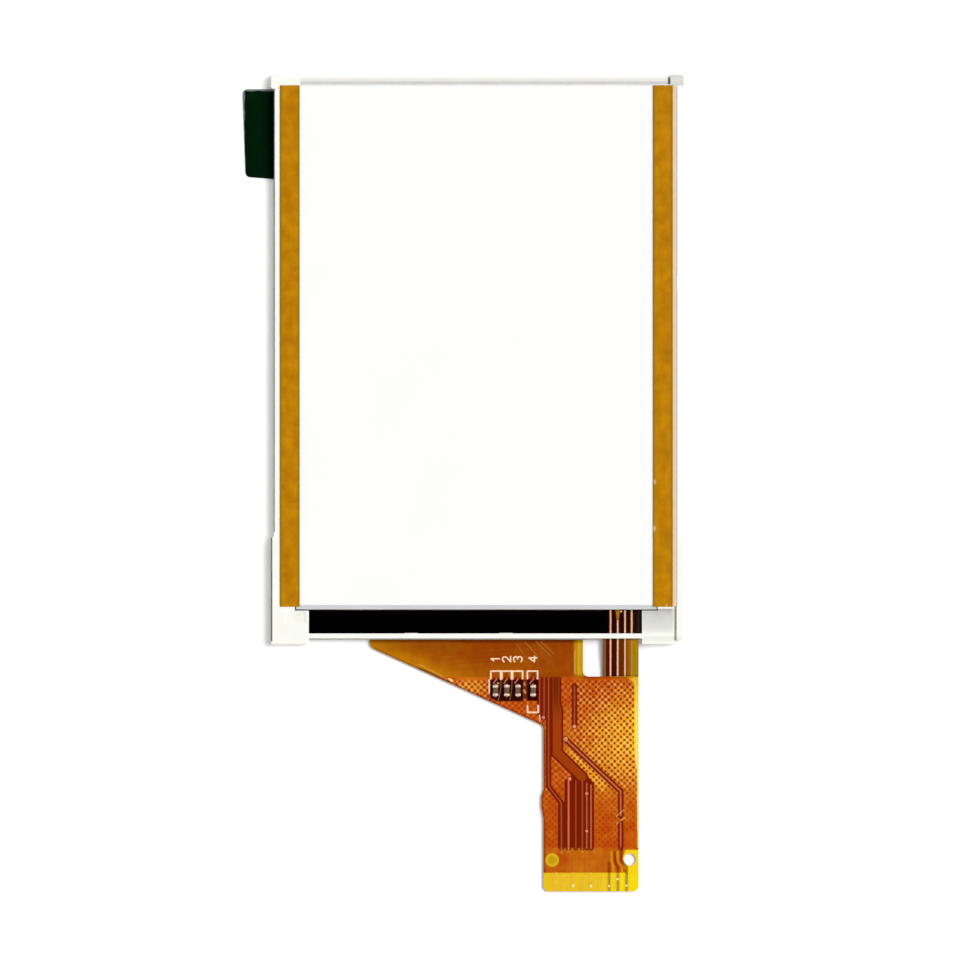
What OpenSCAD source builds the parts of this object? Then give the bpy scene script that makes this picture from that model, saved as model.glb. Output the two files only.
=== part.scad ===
// Small colour display module with its backlight, lying on its front face.
//
// X runs across the screen, Y towards the module's top edge, and Z from the front face to the
// back. The origin is on the front face, on the screen's centre line and half way along the
// frame. The pieces are stacked from the front: film, polarizer, two glasses, polarizer, tape,
// optical sheets, light guide and reflector, all held by one moulded frame. A flexible circuit
// is bonded under the lower glass edge, and a leg of it climbs behind that edge to the lamps.

/* [Moulded frame] */
// Wall between the glass and the outside
wall_t = 0.6; // [0.5:0.05:0.9]
// Wall above the top edge of the glass
top_wall = 0.6; // [0.4:0.05:1]
// How far the foot and the ear stand out on the left
left_out = 0.25; // [0.1:0.05:0.5]
// How far the foot and the ear stand out on the right
right_out = 0.45; // [0.3:0.05:0.8]
// Length of the wide foot
foot_l = 9.5; // [6:0.5:14]
// Width of a corner ear
ear_w = 1.2; // [0.8:0.1:2]
// Length of a corner ear
ear_l = 1.15; // [0.8:0.05:2]
// How far the ears stand above the top rail
ear_rise = 0.22; // [0.1:0.02:0.4]
// Width of the top rail at the back
top_rail = 0.72; // [0.5:0.02:1]
// Width of the bottom rail at the back
bottom_rail = 0.44; // [0.3:0.02:0.7]
// How far the feet reach below the bottom rail
foot_drop = 0.52; // [0.3:0.02:0.8]
// Width of the left foot's block
foot_block = 3.4; // [2.4:0.1:4]
// Room at the bottom for the lamps, from the feet to the reflector
lamp_bay = 3.52; // [3.4:0.02:4.4]
// Wall that carries the edge of the light guide
guide_wall = 1.9; // [1.6:0.05:2.4]
// Height of the lip around the strips
lip_h = 0.12; // [0.06:0.01:0.2]
// Depth of the shaded pocket in the right foot
pocket_d = 0.5; // [0.2:0.05:0.6]
// Rounding of the frame's outer corners
edge_r = 0.1; // [0.05:0.01:0.12]

/* [Screen] */
// Thickness of the protective film
film_t = 0.06; // [0.04:0.01:0.1]
// Thickness of a polarizer
polarizer_t = 0.13; // [0.1:0.01:0.2]
// Distance from a polarizer's edge to the glass edge
polarizer_inset = 0.7; // [0.4:0.05:1]
// Thickness of the colour filter glass, at the front
filter_t = 0.4; // [0.3:0.05:0.7]
// Thickness of the transistor glass, behind it
array_t = 0.4; // [0.3:0.05:0.7]
// Gap between the glasses, filled by the seal at the rim
seal_t = 0.02; // [0.01:0.01:0.05]
// Width of the seal
seal_w = 1; // [0.6:0.1:1.4]
// Length of the glass ledge that carries the chip and the circuit
ledge_l = 3.2; // [2.8:0.1:4]
// Gap between the glass and the frame
glass_gap = 0.1; // [0.05:0.01:0.2]
// Width of the picture
view_w = 30.6; // [26:0.1:36]
// Height of the picture
view_l = 40.8; // [34:0.1:48]
// Border of the glass beside the picture
side_border = 2.2; // [2:0.1:2.8]
// Border of the glass above the picture
top_border = 1.9; // [1.6:0.1:2.4]
// Border of the front glass below the picture
bottom_border = 3.98; // [3.2:0.02:5]
// How far the polarizer stands out of the frame's front
front_step = 0.1; // [0.08:0.01:0.2]
// Length of the driver chip
chip_l = 15; // [10:0.5:20]
// Width of the driver chip
chip_w = 0.9; // [0.6:0.05:1.2]
// Thickness of the driver chip
chip_t = 0.28; // [0.2:0.01:0.35]

/* [Backlight] */
// Thickness of the rim tape
rim_tape_t = 0.06; // [0.04:0.01:0.1]
// How far the rim tape stays clear of the picture
rim_tape_gap = 0.3; // [0.2:0.05:0.5]
// Thickness of a prism sheet
prism_t = 0.07; // [0.05:0.01:0.12]
// Thickness of the diffuser sheet
diffuser_t = 0.06; // [0.04:0.01:0.1]
// Gap around the prism and diffuser sheets
optic_gap = 0.2; // [0.1:0.05:0.3]
// Thickness of the light guide
guide_t = 0.65; // [0.5:0.05:0.9]
// Gap around the light guide
guide_gap = 0.1; // [0.05:0.01:0.15]
// Length of a locating lug on the light guide
lug_l = 2; // [1.5:0.1:3]
// How far a lug stands out of the light guide
lug_out = 0.4; // [0.2:0.05:0.45]
// Distance of the lugs from the middle of the light guide
lug_y = 12; // [8:0.5:16]
// Strip of light guide that shows below the reflector
guide_lip = 0.4; // [0.2:0.05:0.6]
// Thickness of the reflector sheet
reflector_t = 0.08; // [0.05:0.01:0.12]
// How far the reflector lies over the frame on each side
reflector_lap = 0.5; // [0.45:0.05:0.6]
// Gap around the reflector
reflector_gap = 0.06; // [0.04:0.01:0.1]
// Distance between lamps
lamp_pitch = 8.5; // [6:0.5:9]
// Width of a lamp
lamp_w = 3; // [2:0.1:3.8]
// Depth of a lamp
lamp_d = 0.8; // [0.6:0.05:1]
// Height of a lamp
lamp_h = 0.8; // [0.6:0.05:0.85]
// Thickness of the black tape over the lamps
shield_t = 0.05; // [0.03:0.01:0.1]

/* [Fixing strips] */
// Width of a fixing strip
strip_w = 1.78; // [1.4:0.02:2]
// Distance from the frame's side to a strip
strip_inset = 0.55; // [0.4:0.01:0.6]
// Thickness of the adhesive
adhesive_t = 0.05; // [0.03:0.01:0.1]
// How far the right adhesive reaches past its liner
adhesive_margin = 0.2; // [0:0.02:0.3]
// Thickness of the release liner
liner_t = 0.08; // [0.05:0.01:0.12]

/* [Flexible circuit] */
// Thickness of the circuit's film
flex_t = 0.12; // [0.08:0.01:0.2]
// Thickness of the copper on its back
copper_t = 0.03; // [0.02:0.01:0.05]
// Width of the bonded edge under the glass
bond_w = 19.2; // [14:0.1:21]
// Length of the bonded edge
bond_l = 1; // [0.6:0.1:1.2]
// Slope of the long diagonal edge, in degrees below the horizontal
slope = 24.3; // [20:0.1:26]
// Length of the short left side, from the feet to the diagonal edge
side_l = 0.27; // [0.1:0.01:0.5]
// Width of the slot beside the lamp leg
slot_w = 1.75; // [1.2:0.05:2.5]
// Length of the slot below the feet
slot_l = 2.93; // [2:0.01:4]
// Width of the lamp leg
leg_w = 3.25; // [2.6:0.05:3.3]
// Gap between the lamp leg and the glass
leg_gap = 0.03; // [0.02:0.01:0.06]
// Width of the tail
tail_w = 8.55; // [8:0.05:10]
// Length of the tail below the feet
tail_l = 22.25; // [18:0.05:30]
// Rounding of the tail's corners
tail_r = 0.5; // [0.2:0.05:0.75]
// Radius of the guide hole
hole_r = 0.55; // [0.4:0.01:0.6]
// Distance from the guide hole to the tail's side
hole_side = 0.78; // [0.7:0.01:1]
// Distance from the guide hole to the tail's end
hole_up = 2.87; // [2.4:0.01:4]
// Number of contacts
contact_count = 9; // [6:1:9]
// Distance between contacts
contact_pitch = 0.8; // [0.6:0.05:0.8]
// Width of a contact
contact_w = 0.45; // [0.3:0.05:0.5]
// Length of a contact
contact_l = 1.6; // [1:0.1:1.8]
// Width of a fine conductor
track_w = 0.16; // [0.1:0.01:0.2]
// Distance between neighbouring conductors
track_pitch = 0.5; // [0.4:0.02:0.6]
// Width of the broad supply conductor
supply_w = 0.7; // [0.5:0.05:0.8]
// Distance between the openings of the ground net
net_pitch = 0.85; // [0.8:0.05:1.2]
// Width of an opening in the ground net
net_hole = 0.36; // [0.2:0.02:0.4]
// Length of a chip capacitor
capacitor_l = 1; // [0.9:0.05:1.1]
// Width and height of a chip capacitor
capacitor_w = 0.5; // [0.4:0.05:0.6]
// Distance between neighbouring capacitors
capacitor_pitch = 1.01; // [0.9:0.01:1.2]

/* [Film and pull tab] */
// Thickness of the pull tab
tab_t = 0.06; // [0.04:0.01:0.07]
// Length of the pull tab along the frame
tab_l = 8.2; // [5:0.1:12]
// How far the pull tab stands out of the frame
tab_out = 2.6; // [1.5:0.1:5]
// Rounding of the pull tab's corners
tab_r = 0.45; // [0.2:0.05:1]

/* [Hidden] */
$fn = 48;
// How far a cut runs past the face that it opens
over = 1;

// Levels, from the front face to the back
z_front = film_t + front_step;
z_filter = film_t + polarizer_t;
z_seal = z_filter + filter_t;
z_array = z_seal + seal_t;
z_rear_polarizer = z_array + array_t;
z_rim_tape = z_rear_polarizer + polarizer_t;
z_shelf = z_rim_tape + rim_tape_t;
z_diffuser = z_shelf + 2 * prism_t;
z_guide = z_diffuser + diffuser_t;
z_reflector = z_guide + guide_t;
z_seat = z_reflector + reflector_t;
z_lip = z_seat + lip_h;
z_liner = z_seat + adhesive_t;

// Screen and frame
pocket_wall = 0.3;
frame_l = ear_rise + top_wall + top_border + view_l + bottom_border + ledge_l + 2 * glass_gap
    + pocket_wall;
frame_top = frame_l / 2;
frame_bottom = -frame_top;
glass_side = view_w / 2 + side_border;
pocket_side = glass_side + glass_gap;
frame_side = pocket_side + wall_t;
pocket_top = frame_top - ear_rise - top_wall;
pocket_bottom = frame_bottom + pocket_wall;
glass_top = pocket_top - glass_gap;
array_bottom = pocket_bottom + glass_gap;
filter_bottom = array_bottom + ledge_l;
picture_top = glass_top - top_border;
picture_bottom = picture_top - view_l;
left_side = -frame_side - left_out;
right_side = frame_side + right_out;
top_edge = frame_top - ear_rise;
shoulder_y = frame_bottom + foot_l;
chamfer = 0.25;
rail_bottom = frame_bottom + foot_drop;
window_bottom = rail_bottom + bottom_rail;
window_left = left_side + foot_block;
window_shift = 0.15;
window_right = -window_left - window_shift;
seat_top = top_edge - top_rail;
reflector_bottom = frame_bottom + lamp_bay;
guide_bottom = reflector_bottom - guide_lip;
seat_bottom = reflector_bottom - 0.2;
seat_gap = 0.05;
groove_w = 0.22;
strip_outer = frame_side - strip_inset;
strip_inner = strip_outer - strip_w;
seat_left = -strip_outer - seat_gap;
seat_right = strip_outer + adhesive_margin + 0.15;
outer_wall_short = 0.35;
nick_drop = 18.7;
nick_l = 1.2;
nick_d = 0.13;
slit_w = 0.25;
slit_l = 0.65;
ejector_l = 1.4;
ejector_w = 1.8;
ejector_d = 0.1;
tooth_w = 1.2;
tooth_l = 0.9;

// Backlight
opening_side = frame_side - guide_wall;
guide_side = opening_side - guide_gap;
seat_land = 0.55;
opening_top = seat_top - seat_land;
guide_top = opening_top - guide_gap;
reflector_side = opening_side + reflector_lap;
lamp_gap = 0.07;
lamp_top = guide_bottom - lamp_gap;
tag_w = 3;
tag_l = 0.35;
lamp_count = 3;

// Flexible circuit
z_flex = z_array - flex_t;
z_copper = z_flex + flex_t;
z_leg = z_rear_polarizer + leg_gap;
leg_rise = z_leg - z_flex;
z_leg_room = z_leg + flex_t + 0.1;
leg_side = 0.3;
leg_right = window_right - leg_side;
leg_left = leg_right - leg_w;
bond_right = leg_left - slot_w;
bond_left = bond_right - bond_w;
tail_left = leg_right - tail_w;
tail_bottom = frame_bottom - tail_l;
slot_bottom = frame_bottom - slot_l;
leg_top = frame_bottom + 0.15;
bar_top = lamp_top + 0.02;
bar_bottom = array_bottom + bond_l + 0.1;
bar_left = window_left + 0.5;
lamp_middle = (bar_left + leg_left) / 2;
diagonal_top = frame_bottom - side_l;
diagonal_foot = diagonal_top - (tail_left - bond_left) * tan(slope);
bump_out = 0.2;
bump_r = 0.8;
bump_y = tail_bottom + 8.1;
net_top = slot_bottom - 0.15;
net_bottom = tail_bottom + hole_up + hole_r + 0.45;
net_inset = 3.2;
net_inset_low = 7.25;
net_straight = 4.9;
net_side = tail_left + net_inset;
net_side_low = tail_left + net_inset_low;
net_bend = net_top - net_straight;
net_lean = 1.05;
capacitor_drop = 1.25;
capacitor_out = 2.3;
capacitor_y = slot_bottom - capacitor_drop;
capacitor_x = tail_left - capacitor_out;
leg_track_inset = 0.72;
leg_track_pitch = 0.65;
z_lamp = z_leg + flex_t;
z_shield = z_lamp + lamp_h;

// A flat shape raised from one level to another
module layer(low, high) {
    translate([0, 0, low]) linear_extrude(high - low) children();
}

// A rectangle given by two opposite corners
module field(left, bottom, right, top) {
    translate([left, bottom]) square([right - left, top - bottom]);
}

function unit(v) = v / norm(v);

// Points of an arc that rounds corner b, on the way from a to c, with radius r
function corner(a, b, c, r, steps = 6) =
    let (
        u = unit(a - b),
        v = unit(c - b),
        half = acos(u * v) / 2,
        middle = b + unit(u + v) * r / sin(half),
        from = b + u * r / tan(half) - middle,
        turn = sign(u.y * v.x - u.x * v.y) * (180 - 2 * half)
    )
    [for (i = [0:steps])
        let (t = turn * i / steps)
        middle + [from.x * cos(t) - from.y * sin(t), from.x * sin(t) + from.y * cos(t)]];

// An outline whose points are [x, y, radius]; a radius of 0 leaves a sharp corner
function rounded(points) =
    let (n = len(points))
    [for (i = [0:n - 1])
        let (
            a = points[(i + n - 1) % n],
            b = points[i],
            c = points[(i + 1) % n]
        )
        each (b[2] > 0
            ? corner([a.x, a.y], [b.x, b.y], [c.x, c.y], b[2])
            : [[b.x, b.y]])];

// The outline of a conductor of one width along a bent line
function track(points, width = track_w) =
    let (
        last = len(points) - 1,
        side = [for (i = [0:last])
            let (
                before = unit(points[max(i, 1)] - points[max(i, 1) - 1]),
                after = unit(points[min(i, last - 1) + 1] - points[min(i, last - 1)]),
                normal_1 = [-before.y, before.x],
                normal_2 = [-after.y, after.x]
            )
            (normal_1 + normal_2) / (1 + normal_1 * normal_2) * width / 2]
    )
    concat(
        [for (i = [0:last]) points[i] + side[i]],
        [for (i = [last:-1:0]) points[i] - side[i]]);

// Outside of the frame: wide foot, narrower body, corner ears, and a gap between the feet
module frame_outline() {
    polygon(rounded([
        [left_side, frame_bottom, 2 * edge_r],
        [window_left, frame_bottom, edge_r],
        [window_left, rail_bottom, edge_r],
        [window_right, rail_bottom, edge_r],
        [window_right, frame_bottom, edge_r],
        [seat_right, frame_bottom, edge_r],
        [seat_right, frame_bottom + outer_wall_short, 0],
        [right_side, frame_bottom + outer_wall_short, edge_r],
        [right_side, shoulder_y, edge_r],
        [frame_side, shoulder_y + chamfer, edge_r],
        [frame_side, frame_top - ear_l - chamfer, edge_r],
        [right_side, frame_top - ear_l, edge_r],
        [right_side, frame_top, 2 * edge_r],
        [right_side - ear_w, frame_top, edge_r],
        [right_side - ear_w, top_edge, 0],
        [left_side + ear_w, top_edge, 0],
        [left_side + ear_w, frame_top, edge_r],
        [left_side, frame_top, 2 * edge_r],
        [left_side, frame_top - ear_l, edge_r],
        [-frame_side, frame_top - ear_l - chamfer, edge_r],
        [-frame_side, shoulder_y + chamfer, edge_r],
        [left_side, shoulder_y, edge_r]
    ]));
}

module moulded_frame() {
    color("white") difference() {
        layer(z_front, z_lip) frame_outline();
        frame_front_cuts();
        frame_back_cuts();
        frame_foot_cuts();
    }
    color("white") lamp_teeth();
}

// The pocket for the glass, and the room that the lamp leg takes under the bottom rail
module frame_front_cuts() {
    layer(z_front - over, z_shelf)
        field(-pocket_side, pocket_bottom, pocket_side, pocket_top);
    layer(z_shelf - over, z_leg_room)
        field(leg_left - 0.3, rail_bottom - over, leg_right + 0.2, window_bottom + over);
}

// The opening for the light guide, its lug notches, the reflector's seat and the strips' seat
module frame_back_cuts() {
    layer(z_shelf - over, z_lip + over)
        field(-opening_side, guide_bottom - guide_gap, opening_side, opening_top);
    layer(z_shelf - over, z_lip + over)
        field(window_left, window_bottom, window_right, guide_bottom);
    layer(z_shelf - over, z_reflector)
        lug_pairs(lug_l + 2 * guide_gap, lug_out + guide_gap);
    layer(z_reflector, z_lip + over)
        field(-reflector_side - reflector_gap, reflector_bottom - reflector_gap,
            reflector_side + reflector_gap, seat_top);
    layer(z_seat, z_lip + over)
        field(seat_left, seat_bottom, seat_right, seat_top);
}

// Marks of the mould: the shaded pocket and its groove, the ejector mark, the gate nick and
// the slit beside the right ear
module frame_foot_cuts() {
    layer(z_lip - pocket_d, z_lip + over)
        field(window_right - over, window_bottom, seat_right - groove_w, guide_bottom);
    layer(z_shelf + 0.3, z_lip + over)
        field(seat_right - groove_w, pocket_bottom, seat_right, seat_bottom + 0.1);
    layer(z_lip - ejector_d, z_lip + over)
        translate([window_left - 0.3 - ejector_w, seat_bottom - 0.1 - ejector_l])
            square([ejector_w, ejector_l]);
    layer(z_front - over, z_lip + over)
        translate([frame_side - nick_d, frame_top - nick_drop - nick_l / 2])
            square([over, nick_l]);
    layer(z_shelf, z_lip + over)
        translate([right_side - ear_w - slit_w, frame_top - slit_l - ear_rise])
            square([slit_w, slit_l + over]);
}

// Small teeth on the bottom rail that stand between the lamps
module lamp_teeth() {
    for (i = [1:lamp_count - 1])
        translate([lamp_middle + (i - lamp_count / 2) * lamp_pitch, 0])
            layer(z_leg_room, z_shield - 0.05)
                field(-tooth_w / 2, window_bottom - 0.1, tooth_w / 2, window_bottom + tooth_l);
}

// The two pairs of lugs of the light guide, as flat shapes
module lug_pairs(length, out) {
    for (side = [-1, 1], y = [-lug_y, lug_y])
        translate([side * (guide_side - 0.5 + (out + 0.5) / 2), y])
            square([out + 0.5, length], center = true);
}

module light_guide() {
    color("azure") layer(z_guide, z_reflector) {
        field(-guide_side, guide_bottom, guide_side, guide_top);
        lug_pairs(lug_l, lug_out);
    }
}

module reflector_sheet() {
    color("whitesmoke") layer(z_reflector, z_seat)
        field(-reflector_side, reflector_bottom, reflector_side, seat_top - reflector_gap);
}

// One of the thin optical sheets in front of the light guide, with its grip tag
module optic_sheet(low, thickness, tag_x) {
    layer(low, low + thickness) {
        field(-opening_side + optic_gap, guide_bottom + 0.6, opening_side - optic_gap,
            guide_top - tag_l);
        field(tag_x, guide_top - tag_l - over, tag_x + tag_w, guide_top);
    }
}

module diffuser_sheet() {
    color("ghostwhite") optic_sheet(z_diffuser, diffuser_t, -12);
}

module prism_sheet_lower() {
    color("lightcyan") optic_sheet(z_shelf + prism_t, prism_t, -2);
}

module prism_sheet_upper() {
    color("lightcyan") optic_sheet(z_shelf, prism_t, 8);
}

// Black double-sided tape that seals the glass to the frame and the sheets
module rim_tape() {
    color("black") layer(z_rim_tape, z_shelf) difference() {
        field(-glass_side + 0.1, filter_bottom, glass_side - 0.1, glass_top - 0.1);
        field(-view_w / 2 - rim_tape_gap, picture_bottom - rim_tape_gap,
            view_w / 2 + rim_tape_gap, picture_top + rim_tape_gap);
    }
}

module polarizer_sheet(low) {
    layer(low, low + polarizer_t)
        field(-glass_side + polarizer_inset, filter_bottom + polarizer_inset,
            glass_side - polarizer_inset, glass_top - polarizer_inset);
}

module rear_polarizer() {
    color("dimgray") polarizer_sheet(z_rear_polarizer);
}

module front_polarizer() {
    color("dimgray") polarizer_sheet(film_t);
}

module array_glass() {
    color("lightslategray") layer(z_array, z_rear_polarizer)
        field(-glass_side, array_bottom, glass_side, glass_top);
}

module filter_glass() {
    color("slategray") layer(z_filter, z_seal)
        field(-glass_side, filter_bottom, glass_side, glass_top);
}

// The ring that holds the two glasses together and the liquid crystal in
module cell_seal() {
    color("gray") layer(z_seal, z_array) difference() {
        field(-glass_side, filter_bottom, glass_side, glass_top);
        field(-glass_side + seal_w, filter_bottom + seal_w, glass_side - seal_w,
            glass_top - seal_w);
    }
}

module protective_film() {
    color("lavender") layer(0, film_t) polygon(rounded([
        [-pocket_side, filter_bottom + 0.2, 0.5],
        [pocket_side, filter_bottom + 0.2, 0.5],
        [pocket_side, pocket_top, 0.5],
        [-pocket_side, pocket_top, 0.5]
    ]));
}

// The tab bonded behind the left border of the protective film, for peeling it off
module pull_tab() {
    root = -glass_side + polarizer_inset - 0.1;
    top = pocket_top - 0.45;
    color("darkgreen") layer(film_t, film_t + tab_t) polygon(rounded([
        [root, top, 0],
        [left_side - tab_out, top, tab_r],
        [left_side - tab_out + 0.3, top - tab_l + 0.3, tab_r],
        [root, top - tab_l, 0]
    ]));
}

// The driver chip, face down on the front of the glass ledge
module driver_chip() {
    color("darkslategray") layer(z_array - chip_t, z_array)
        translate([0, filter_bottom - 0.45 - chip_w / 2])
            square([chip_l, chip_w], center = true);
}

// The circuit's flat part: bonded edge, diagonal edge and tail with its registration bump
module flex_outline() {
    polygon(rounded([
        [bond_left, array_bottom + bond_l, 0],
        [bond_left, diagonal_top, 0.7],
        [tail_left, diagonal_foot, 0.5],
        [tail_left, bump_y + 1.05, bump_r],
        [tail_left - bump_out, bump_y + 0.45, bump_r],
        [tail_left - bump_out, bump_y - 0.45, bump_r],
        [tail_left, bump_y - 1.6, bump_r],
        [tail_left, tail_bottom, tail_r],
        [leg_right, tail_bottom, tail_r],
        [leg_right, slot_bottom, 0],
        [bond_right, slot_bottom, 0.5],
        [bond_right, array_bottom + bond_l, 0]
    ]));
}

// Height of the lamp leg above the tail, along its climb from the slot's end to the feet
function leg_height(y) =
    leg_rise * (1 - cos(180 * min(1, max(0, (y - slot_bottom) / (leg_top - slot_bottom))))) / 2;

// A ribbon that follows the lamp leg between two distances above the film's front side
module leg_ribbon(left, right, low, high, top = bar_top) {
    steps = 14;
    climb = [for (i = [0:steps]) slot_bottom + (leg_top - slot_bottom) * i / steps];
    line = concat(climb, [top]);
    translate([left, 0, z_flex]) rotate([90, 0, 90]) linear_extrude(right - left)
        polygon(concat(
            [for (y = line) [y, leg_height(y) + low]],
            [for (i = [len(line) - 1:-1:0]) [line[i], leg_height(line[i]) + high]]));
}

module main_flex() {
    color("darkorange") difference() {
        layer(z_flex, z_copper) flex_outline();
        translate([leg_right - hole_side, tail_bottom + hole_up, z_flex - over])
            cylinder(r = hole_r, h = flex_t + 2 * over);
    }
    color("darkorange") leg_ribbon(leg_left, leg_right, 0, flex_t);
    color("darkorange") layer(z_leg, z_leg + flex_t)
        field(bar_left, bar_bottom, leg_left + 0.1, bar_top);
}

// Conductors that run down the tail: the one along the edge, the broad supply, the short finger,
// the long diagonal and the bundle to the contacts
module tail_tracks() {
    edge_x = tail_left + 0.42;
    bend_y = net_top - 9.8;
    bundle_x = tail_left + 2.2;
    bundle_y = net_top - 9.4;
    supply_x = tail_left + 1.2;
    supply_y = net_top - 6.9;
    diagonal_x = tail_left + 1.95;
    diagonal_y = net_top - 5.6;
    finger_x = tail_left + 2.8;
    finger_y = net_top - 4.3;
    via_r = 0.3;
    polygon(track([
        [edge_x, net_top],
        [edge_x, bend_y],
        [edge_x + 1.1, bend_y - 1.35],
        [edge_x + 1.1, net_bottom]
    ]));
    polygon(track([
        [supply_x, net_top],
        [supply_x, supply_y],
        [supply_x + 2.2, supply_y - 2.05]
    ], supply_w));
    polygon(track([[finger_x, net_top - 0.5], [finger_x, finger_y]]));
    translate([finger_x, finger_y]) circle(r = 0.75 * via_r, $fn = 24);
    polygon(track([
        [diagonal_x, diagonal_y],
        [diagonal_x + 4.9, diagonal_y - 4.65],
        [diagonal_x + 4.9, net_bottom]
    ]));
    translate([diagonal_x, diagonal_y]) circle(r = via_r, $fn = 24);
    for (i = [0:4])
        polygon(track([
            [bundle_x + i * track_pitch, bundle_y + (i > 1 ? -0.2 * (i - 1) : 0)],
            [bundle_x + i * track_pitch, net_bottom]
        ]));
}

// The four lamp conductors, laid along the leg, and the conductors of the tail
module copper_tracks() {
    color("coral") layer(z_copper, z_copper + copper_t) tail_tracks();
    color("coral") for (i = [0:3])
        let (x = leg_left + leg_track_inset + i * leg_track_pitch)
        leg_ribbon(x - track_w / 2, x + track_w / 2, flex_t, flex_t + copper_t, bar_top - 0.1);
}

// Left edge of the ground net at height y, beside the finger and then beside the diagonal
function net_left(y) =
    y > net_bend ? net_side : min(net_side_low, net_side + (net_bend - y) * net_lean);

// The net of copper that shields the tail, beside the long diagonal conductor
module ground_net() {
    net_right = leg_right - 0.2;
    knee_y = net_bend - (net_side_low - net_side) / net_lean;
    rows = floor((net_top - net_bottom) / (net_pitch / 2));
    columns = floor((net_right - tail_left) / net_pitch);
    color("orange") layer(z_copper, z_copper + copper_t) difference() {
        polygon([
            [net_side, net_top],
            [net_side, net_bend],
            [net_side_low, knee_y],
            [net_side_low, net_bottom],
            [net_right, net_bottom],
            [net_right, net_top]
        ]);
        for (row = [1:rows - 1], column = [1:columns])
            let (
                x = net_right - (column - (row % 2) / 2) * net_pitch,
                y = net_top - row * net_pitch / 2
            )
            if (x - net_left(y) > net_hole && x < net_right - net_hole)
                translate([x, y]) rotate(45) square(net_hole, center = true);
    }
}

module contact_pads() {
    middle = (tail_left + leg_right) / 2;
    color("gold") layer(z_copper, z_copper + copper_t)
        for (i = [0:contact_count - 1])
            translate([middle + (i - (contact_count - 1) / 2) * contact_pitch,
                tail_bottom + contact_l / 2])
                square([contact_w, contact_l - 0.1], center = true);
}

// A chip capacitor with its plated ends, lying across the film along Y
module capacitor(x, y) {
    end_l = 0.22;
    skin = 0.02;
    translate([x, y, z_copper + capacitor_w / 2]) {
        color("tan")
            cube([capacitor_w - 2 * skin, capacitor_l, capacitor_w - 2 * skin], center = true);
        color("silver") for (side = [-1, 1])
            translate([0, side * (capacitor_l - end_l) / 2, 0])
                cube([capacitor_w, end_l, capacitor_w], center = true);
    }
}

module capacitor_1() { capacitor(capacitor_x - 2 * capacitor_pitch, capacitor_y); }
module capacitor_2() { capacitor(capacitor_x - capacitor_pitch, capacitor_y); }
module capacitor_3() { capacitor(capacitor_x, capacitor_y); }
module capacitor_4() { capacitor(capacitor_x + 1.35 * capacitor_pitch, capacitor_y); }

// A side-view lamp: a white box with a lens window towards the light guide
module lamp(index) {
    x = lamp_middle + (index - (lamp_count - 1) / 2) * lamp_pitch;
    color("lightyellow") translate([x, lamp_top - lamp_d / 2, z_lamp + lamp_h / 2])
        difference() {
            cube([lamp_w, lamp_d, lamp_h], center = true);
            translate([0, lamp_d / 2, 0])
                cube([lamp_w - 0.8, 0.2, lamp_h - 0.3], center = true);
        }
}

module lamp_1() { lamp(0); }
module lamp_2() { lamp(1); }
module lamp_3() { lamp(2); }

// Black tape that lies on the lamps and ends beside the lamp leg's conductors
module shield_tape() {
    color("black") layer(z_shield, z_shield + shield_t)
        field(window_left + 0.05, window_bottom + 0.05, leg_left + 0.5, lamp_top);
}

module strip(left, right, low, high) {
    layer(low, high) field(left, seat_bottom + seat_gap, right, seat_top - seat_gap);
}

module adhesive_left() {
    color("wheat") strip(-strip_outer, -strip_inner, z_seat, z_liner);
}

module adhesive_right() {
    color("wheat") strip(strip_inner, strip_outer + adhesive_margin, z_seat, z_liner);
}

module liner_left() {
    color("darkgoldenrod") strip(-strip_outer, -strip_inner, z_liner, z_liner + liner_t);
}

module liner_right() {
    color("darkgoldenrod") strip(strip_inner, strip_outer, z_liner, z_liner + liner_t);
}

moulded_frame();
light_guide();
reflector_sheet();
diffuser_sheet();
prism_sheet_lower();
prism_sheet_upper();
rim_tape();
rear_polarizer();
array_glass();
cell_seal();
filter_glass();
front_polarizer();
protective_film();
pull_tab();
driver_chip();
main_flex();
copper_tracks();
ground_net();
contact_pads();
capacitor_1();
capacitor_2();
capacitor_3();
capacitor_4();
lamp_1();
lamp_2();
lamp_3();
shield_tape();
adhesive_left();
adhesive_right();
liner_left();
liner_right();
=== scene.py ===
"""Looks of a small colour display module with its backlight, lying on its front face.

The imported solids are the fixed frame. This file gives every solid its finish, and adds what is too
fine for them: the relief of the circuit's cover film over its copper, the ink marks, the plated
chip capacitors with their solder, and the small plated holes. Lengths in the classes are in
millimetres, in the frame of the solids: X across the screen, Y towards the top edge, Z to the back.
"""

import logging
import math
from dataclasses import dataclass, field
from enum import Enum
from functools import reduce

import bpy
import numpy as np
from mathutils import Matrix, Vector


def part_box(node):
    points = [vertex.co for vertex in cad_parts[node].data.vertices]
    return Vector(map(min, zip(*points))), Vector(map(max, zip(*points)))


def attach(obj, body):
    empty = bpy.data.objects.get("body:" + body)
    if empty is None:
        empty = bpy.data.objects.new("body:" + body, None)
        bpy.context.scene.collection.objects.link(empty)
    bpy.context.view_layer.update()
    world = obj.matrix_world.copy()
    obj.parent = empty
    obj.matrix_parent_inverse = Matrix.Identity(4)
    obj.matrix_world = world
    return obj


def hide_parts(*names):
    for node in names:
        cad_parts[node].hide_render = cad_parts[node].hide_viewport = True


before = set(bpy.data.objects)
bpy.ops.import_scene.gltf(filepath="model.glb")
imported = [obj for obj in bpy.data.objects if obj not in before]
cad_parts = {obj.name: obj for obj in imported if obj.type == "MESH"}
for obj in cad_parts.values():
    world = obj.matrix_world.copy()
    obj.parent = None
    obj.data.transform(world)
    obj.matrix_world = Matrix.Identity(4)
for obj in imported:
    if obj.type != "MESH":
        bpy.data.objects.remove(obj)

MM = 0.001
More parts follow.
